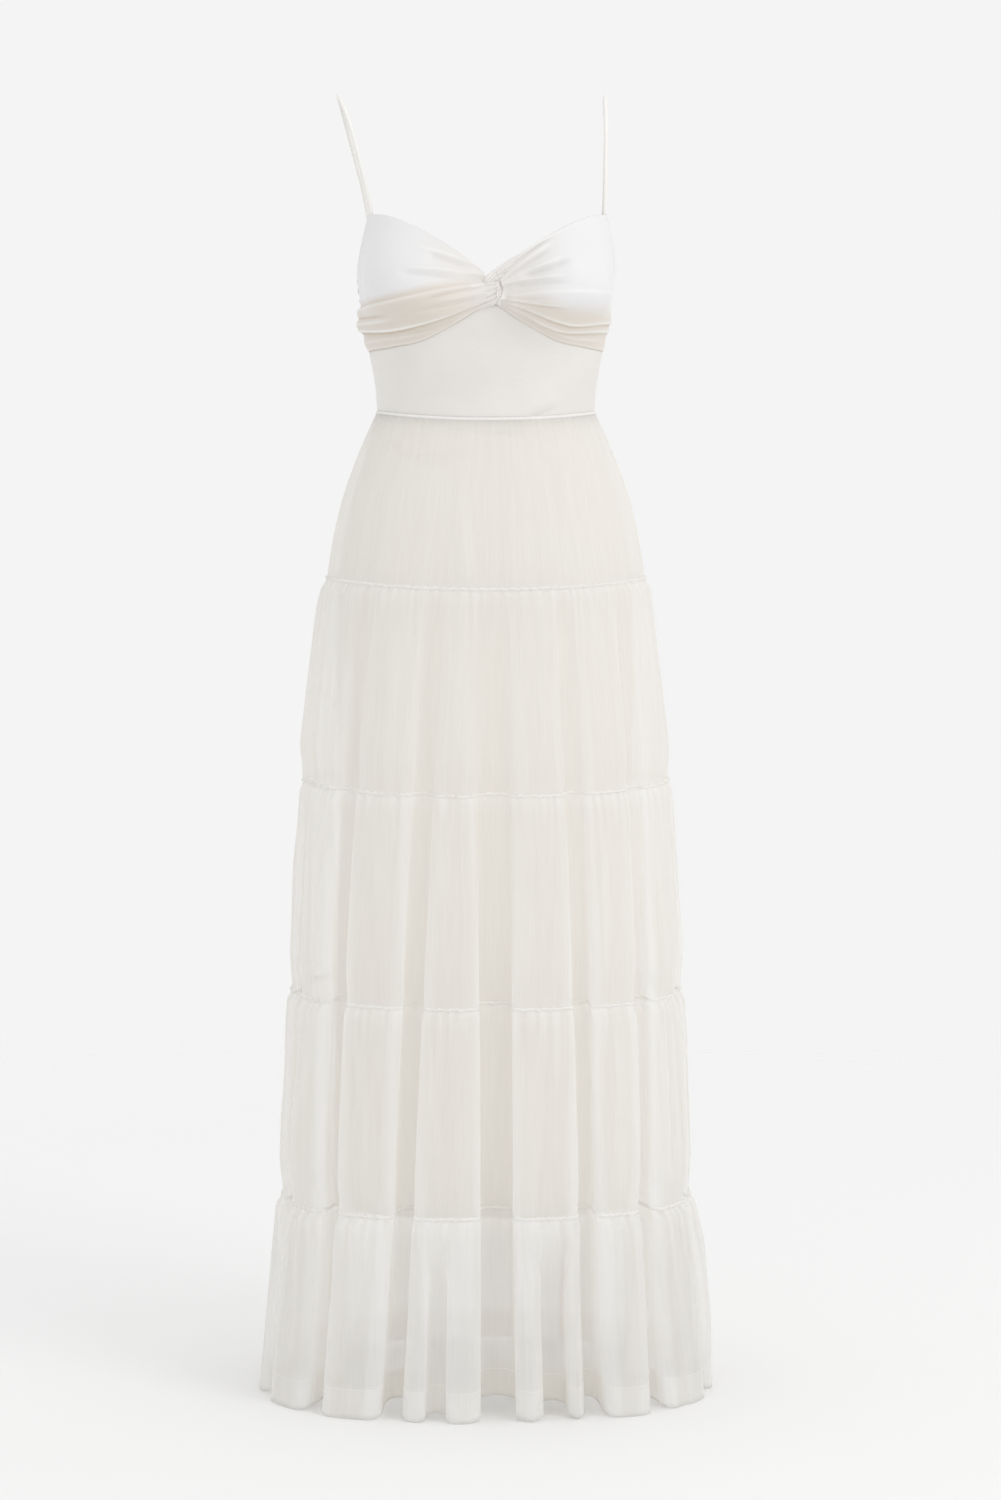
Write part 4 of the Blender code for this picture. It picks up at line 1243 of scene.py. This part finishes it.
def stitch_tree():
    """Sets small stitches along lines, evenly spaced and each a little different in length."""
    tree = bpy.data.node_groups.new("stitches", "GeometryNodeTree")
    tree.interface.new_socket("Lines", in_out="INPUT", socket_type="NodeSocketGeometry")
    for name in ("Spacing", "Stitch length", "Thread width"):
        tree.interface.new_socket(name, in_out="INPUT", socket_type="NodeSocketFloat")
    tree.interface.new_socket("Thread", in_out="INPUT", socket_type="NodeSocketMaterial")
    tree.interface.new_socket("Stitches", in_out="OUTPUT", socket_type="NodeSocketGeometry")
    given = add(tree, "NodeGroupInput").outputs
    curve = add(tree, "GeometryNodeMeshToCurve", {"Mesh": given["Lines"]}).outputs["Curve"]
    even = add(tree, "GeometryNodeResampleCurve", {"Curve": curve, "Length": given["Spacing"]}, mode="LENGTH")
    bead = add(tree, "GeometryNodeMeshUVSphere", {"Segments": 5, "Rings": 3, "Radius": 0.5}).outputs["Mesh"]
    ahead = add(tree, "GeometryNodeInputTangent").outputs["Tangent"]
    turned = add(tree, "FunctionNodeAlignRotationToVector", {"Vector": ahead}, axis="X").outputs["Rotation"]
    uneven = add(tree, "FunctionNodeRandomValue", {2: 0.85, 3: 1.15, "Seed": 7}, data_type="FLOAT").outputs[1]
    length = add(tree, "ShaderNodeMath", {0: given["Stitch length"], 1: uneven}, operation="MULTIPLY")
    width = given["Thread width"]
    size = add(tree, "ShaderNodeCombineXYZ", {"X": length.outputs[0], "Y": width, "Z": width}).outputs[0]
    sewn = add(tree, "GeometryNodeInstanceOnPoints",
               {"Points": even.outputs["Curve"], "Instance": bead, "Rotation": turned, "Scale": size})
    real = add(tree, "GeometryNodeRealizeInstances", {"Geometry": sewn.outputs["Instances"]}).outputs[0]
    finished = add(tree, "GeometryNodeSetMaterial", {"Geometry": real, "Material": given["Thread"]})
    add(tree, "NodeGroupOutput", {"Stitches": finished.outputs[0]})
    return tree


STITCHES = stitch_tree()

Stitch = namedtuple("Stitch", "spacing length width")
OVERLOCK = Stitch(0.0024, 0.0021, 0.00055)
HEM_STITCH = Stitch(0.0030, 0.0021, 0.00042)
LINING_STITCH = Stitch(0.0030, 0.0022, 0.00042)
TOPSTITCH = Stitch(0.0028, 0.0020, 0.0004)


def stitch_rows(name, lines, stitch, slot, nodes):
    """Rows of stitches along lines of points, as one piece. Each line is (points, closed)."""
    points, edges, first = [], [], 0
    for line, closed in lines:
        count = len(line)
        points.extend(line.tolist())
        edges.extend((first + i, first + i + 1) for i in range(count - 1))
        if closed:
            edges.append((first + count - 1, first))
        first += count
    guide_mesh = bpy.data.meshes.new(name + "_guide")
    guide_mesh.from_pydata(points, edges, [])
    guide = put(name + "_guide", guide_mesh)
    modifier = guide.modifiers.new("stitches", "NODES")
    modifier.node_group = STITCHES
    given = dict(zip(("Spacing", "Stitch length", "Thread width", "Thread"), (*stitch, THREAD)))
    for item in STITCHES.interface.items_tree:
        if item.in_out == "INPUT" and item.name in given:
            modifier[item.identifier] = given[item.name]
    bpy.context.view_layer.update()
    sewn = bpy.data.meshes.new_from_object(guide.evaluated_get(bpy.context.evaluated_depsgraph_get()))
    sewn.name = name
    sewn.polygons.foreach_set("use_smooth", np.ones(len(sewn.polygons), bool))
    bpy.data.objects.remove(guide)
    return place(name, sewn, None, slot, nodes)


ALL_ROUND = np.linspace(-math.pi, math.pi, 1600, endpoint=False)


def skirt_stitches():
    """The overlocked seam over each tier but the first, and the stitches of the lowest tier's hem."""
    rows = []
    for tier, stands in zip(TIERS[1:], FRILL_STANDS[1:]):
        line = tier_points(tier, ALL_ROUND, np.zeros(len(ALL_ROUND)), stands * 0.72)
        name = tier.name + "_overlock"
        rows.append(stitch_rows(name, ((line, True),), OVERLOCK, "mesh", halves(tier.name)))
    hem = TIERS[-1]
    share = 1 - (HEM_TURN_UP - 0.002) / hem.top.height
    line = tier_points(hem, ALL_ROUND, np.full(len(ALL_ROUND), share), 0.0003)
    rows.append(stitch_rows("hem_stitches", ((line, True),), HEM_STITCH, "mesh", halves(hem.name)))
    return rows


def lining_stitches():
    height = LINING_RINGS[-1].height + LINING_HEM - 0.002
    line = lining_points(ALL_ROUND, np.full(len(ALL_ROUND), height), 0.0008)
    stitch_rows("lining_stitches", ((line, True),), LINING_STITCH, "lining", halves("lining"))


def edge_stitches():
    """Topstitching along the back's top edge and the armholes."""
    turn = np.linspace(QUARTER, 3 * QUARTER, 400)
    lines = [(bodice_points(turn, np.full(400, BACK_TOP_HEIGHT - 0.0035), 0.0008), False)]
    across = np.linspace(ARMHOLE_SHARE, 0.985, 120)
    for side in (-1, 1):
        turn, height = panel_place(np.full(120, 0.975), across)
        lines.append((bodice_points(side * turn, height, 0.0020), False))
    nodes = ("bodice_back", "bust_panel_left", "bust_panel_right")
    stitch_rows("edge_stitches", lines, TOPSTITCH, "bodice", nodes)


lining_piece, lining_girth, lining_length = lining()
frills = []
for tier, stands, tall in zip(TIERS, FRILL_STANDS, FRILL_TALLS):
    uneven = 0.1 if tier.top is WAIST else 1.0
    frills.append(seam_frill(tier.name + "_seam", tier, tier.seed + 90, stands, tall, uneven))
overlocks = skirt_stitches()
for number, tier in enumerate(TIERS):
    piece, girth, drop = skirt_tier(tier)
    sewn_on = [frills[number]] + ([overlocks[number - 1]] if number else [])
    if tier.bottom is HEM:
        sewn_on.append(overlocks[-1])
lining_stitches()

for piece, width, length, area in (midriff(), back()):
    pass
for name, node, side in (("bust_left", "bust_panel_left", 1), ("bust_right", "bust_panel_right", -1)):
    piece, width, length, area = bust_panel(name, node, side)
twist_loop("twist_right", "twist_loop_right", LOWER_TWIST, ROLLED, False)
twist_loop("twist_left", "twist_loop_left", UPPER_TWIST, 0.80, True)
strap("left_strap", "strap_left", LEFT_STRAP, 1)
strap("right_strap", "strap_right", RIGHT_STRAP, -1)
edge_stitches()


# The floor, the camera and the light

FLOOR_RADIUS = 4.0
FLOOR_FADE_FROM = 1.2
FLOOR_FADE_TO = 3.4
FLOOR_SIDES = 96
FLOOR_COLOUR = (0.936, 0.936, 0.936, 1)


def floor():
    """A pale floor that fades into the plain background."""
    material, tree = start_material("floor")
    spot = add(tree, "ShaderNodeTexCoord").outputs["Object"]
    away = add(tree, "ShaderNodeVectorMath", {0: spot}, operation="LENGTH").outputs["Value"]
    fade = {"Value": away, "From Min": FLOOR_FADE_FROM, "From Max": FLOOR_FADE_TO, "To Min": 1.0,
            "To Max": 0.0}
    cover = add(tree, "ShaderNodeMapRange", fade, interpolation_type="SMOOTHSTEP").outputs["Result"]
    paint = add(tree, "ShaderNodeBsdfPrincipled", {"Base Color": FLOOR_COLOUR, "Roughness": 0.9,
                                                   "Specular IOR Level": 0.1, "Alpha": cover})
    end_material(tree, paint.outputs[0])
    turns = np.linspace(0, FULL_TURN, FLOOR_SIDES, endpoint=False)
    rim = np.stack([np.cos(turns) * FLOOR_RADIUS, np.sin(turns) * FLOOR_RADIUS, 0 * turns], axis=-1)
    mesh = bpy.data.meshes.new("floor")
    mesh.from_pydata(rim.tolist(), [], [list(range(FLOOR_SIDES))])
    mesh.materials.append(material)
    piece = put("floor", mesh)
    piece.location.z = -SHOULDER_HEIGHT - 0.0005


CAMERA_DISTANCE = 4.5
CAMERA_HEIGHT = 1.0
CAMERA_TURN = math.radians(-2.5)
CAMERA_TILT = math.radians(3.78)
CAMERA_LENS = 98.8
CAMERA_SHIFT = 0.0097


def camera():
    data = bpy.data.cameras.new("camera")
    data.sensor_width = 36
    data.lens = CAMERA_LENS
    data.shift_x = CAMERA_SHIFT
    data.clip_end = 60
    view = put("camera", data)
    view.location = (CAMERA_DISTANCE * math.sin(CAMERA_TURN), -CAMERA_DISTANCE * math.cos(CAMERA_TURN),
                     CAMERA_HEIGHT - SHOULDER_HEIGHT)
    view.rotation_euler = (QUARTER - CAMERA_TILT, 0, CAMERA_TURN)
    bpy.context.scene.camera = view


BACKGROUND = 0.905
FRONT_LOW = 0.74
FRONT_HIGH = 1.06
BRIGHT_SIDE = (0.62, 0.0, 0.70)
KEY_PLACE = (2.3, -2.7, 2.0)
KEY_AIM = (0, 0, -0.5)
KEY_SIZE = (1.6, 2.2)
KEY_POWER = 25
KEY_COLOUR = (1.0, 0.995, 0.985)


def key_light():
    """The soft key, in front of the dress and to the wearer's left."""
    data = bpy.data.lights.new("key", "AREA")
    data.shape = "RECTANGLE"
    data.size, data.size_y = KEY_SIZE
    data.energy = KEY_POWER
    data.color = KEY_COLOUR
    light = put("key", data)
    light.location = KEY_PLACE
    light.rotation_euler = (Vector(KEY_AIM) - Vector(KEY_PLACE)).to_track_quat("-Z", "Y").to_euler()


def studio_light():
    """Plain light all round, which falls off to the wearer's right in front of the dress."""
    world = bpy.data.worlds.new("studio")
    world.use_nodes = True
    tree = world.node_tree
    toward = add(tree, "ShaderNodeTexCoord").outputs["Generated"]
    parts = add(tree, "ShaderNodeSeparateXYZ", {0: toward}).outputs
    side = add(tree, "ShaderNodeVectorMath", {0: toward, 1: BRIGHT_SIDE}, operation="DOT_PRODUCT")
    front = ramp(tree, side.outputs["Value"], FRONT_LOW, FRONT_HIGH, -0.7, 0.9)
    behind = add(tree, "ShaderNodeMapRange", {"Value": parts["Y"], "From Min": -0.45, "From Max": 0.0},
                 interpolation_type="SMOOTHSTEP").outputs["Result"]
    glow = add(tree, "ShaderNodeMix", {0: behind, 2: front, 3: BACKGROUND}, data_type="FLOAT").outputs[0]
    tree.links.new(glow, tree.nodes["Background"].inputs["Color"])
    bpy.context.scene.world = world


floor()
camera()
studio_light()
key_light()
bpy.context.scene.view_settings.view_transform = "Standard"
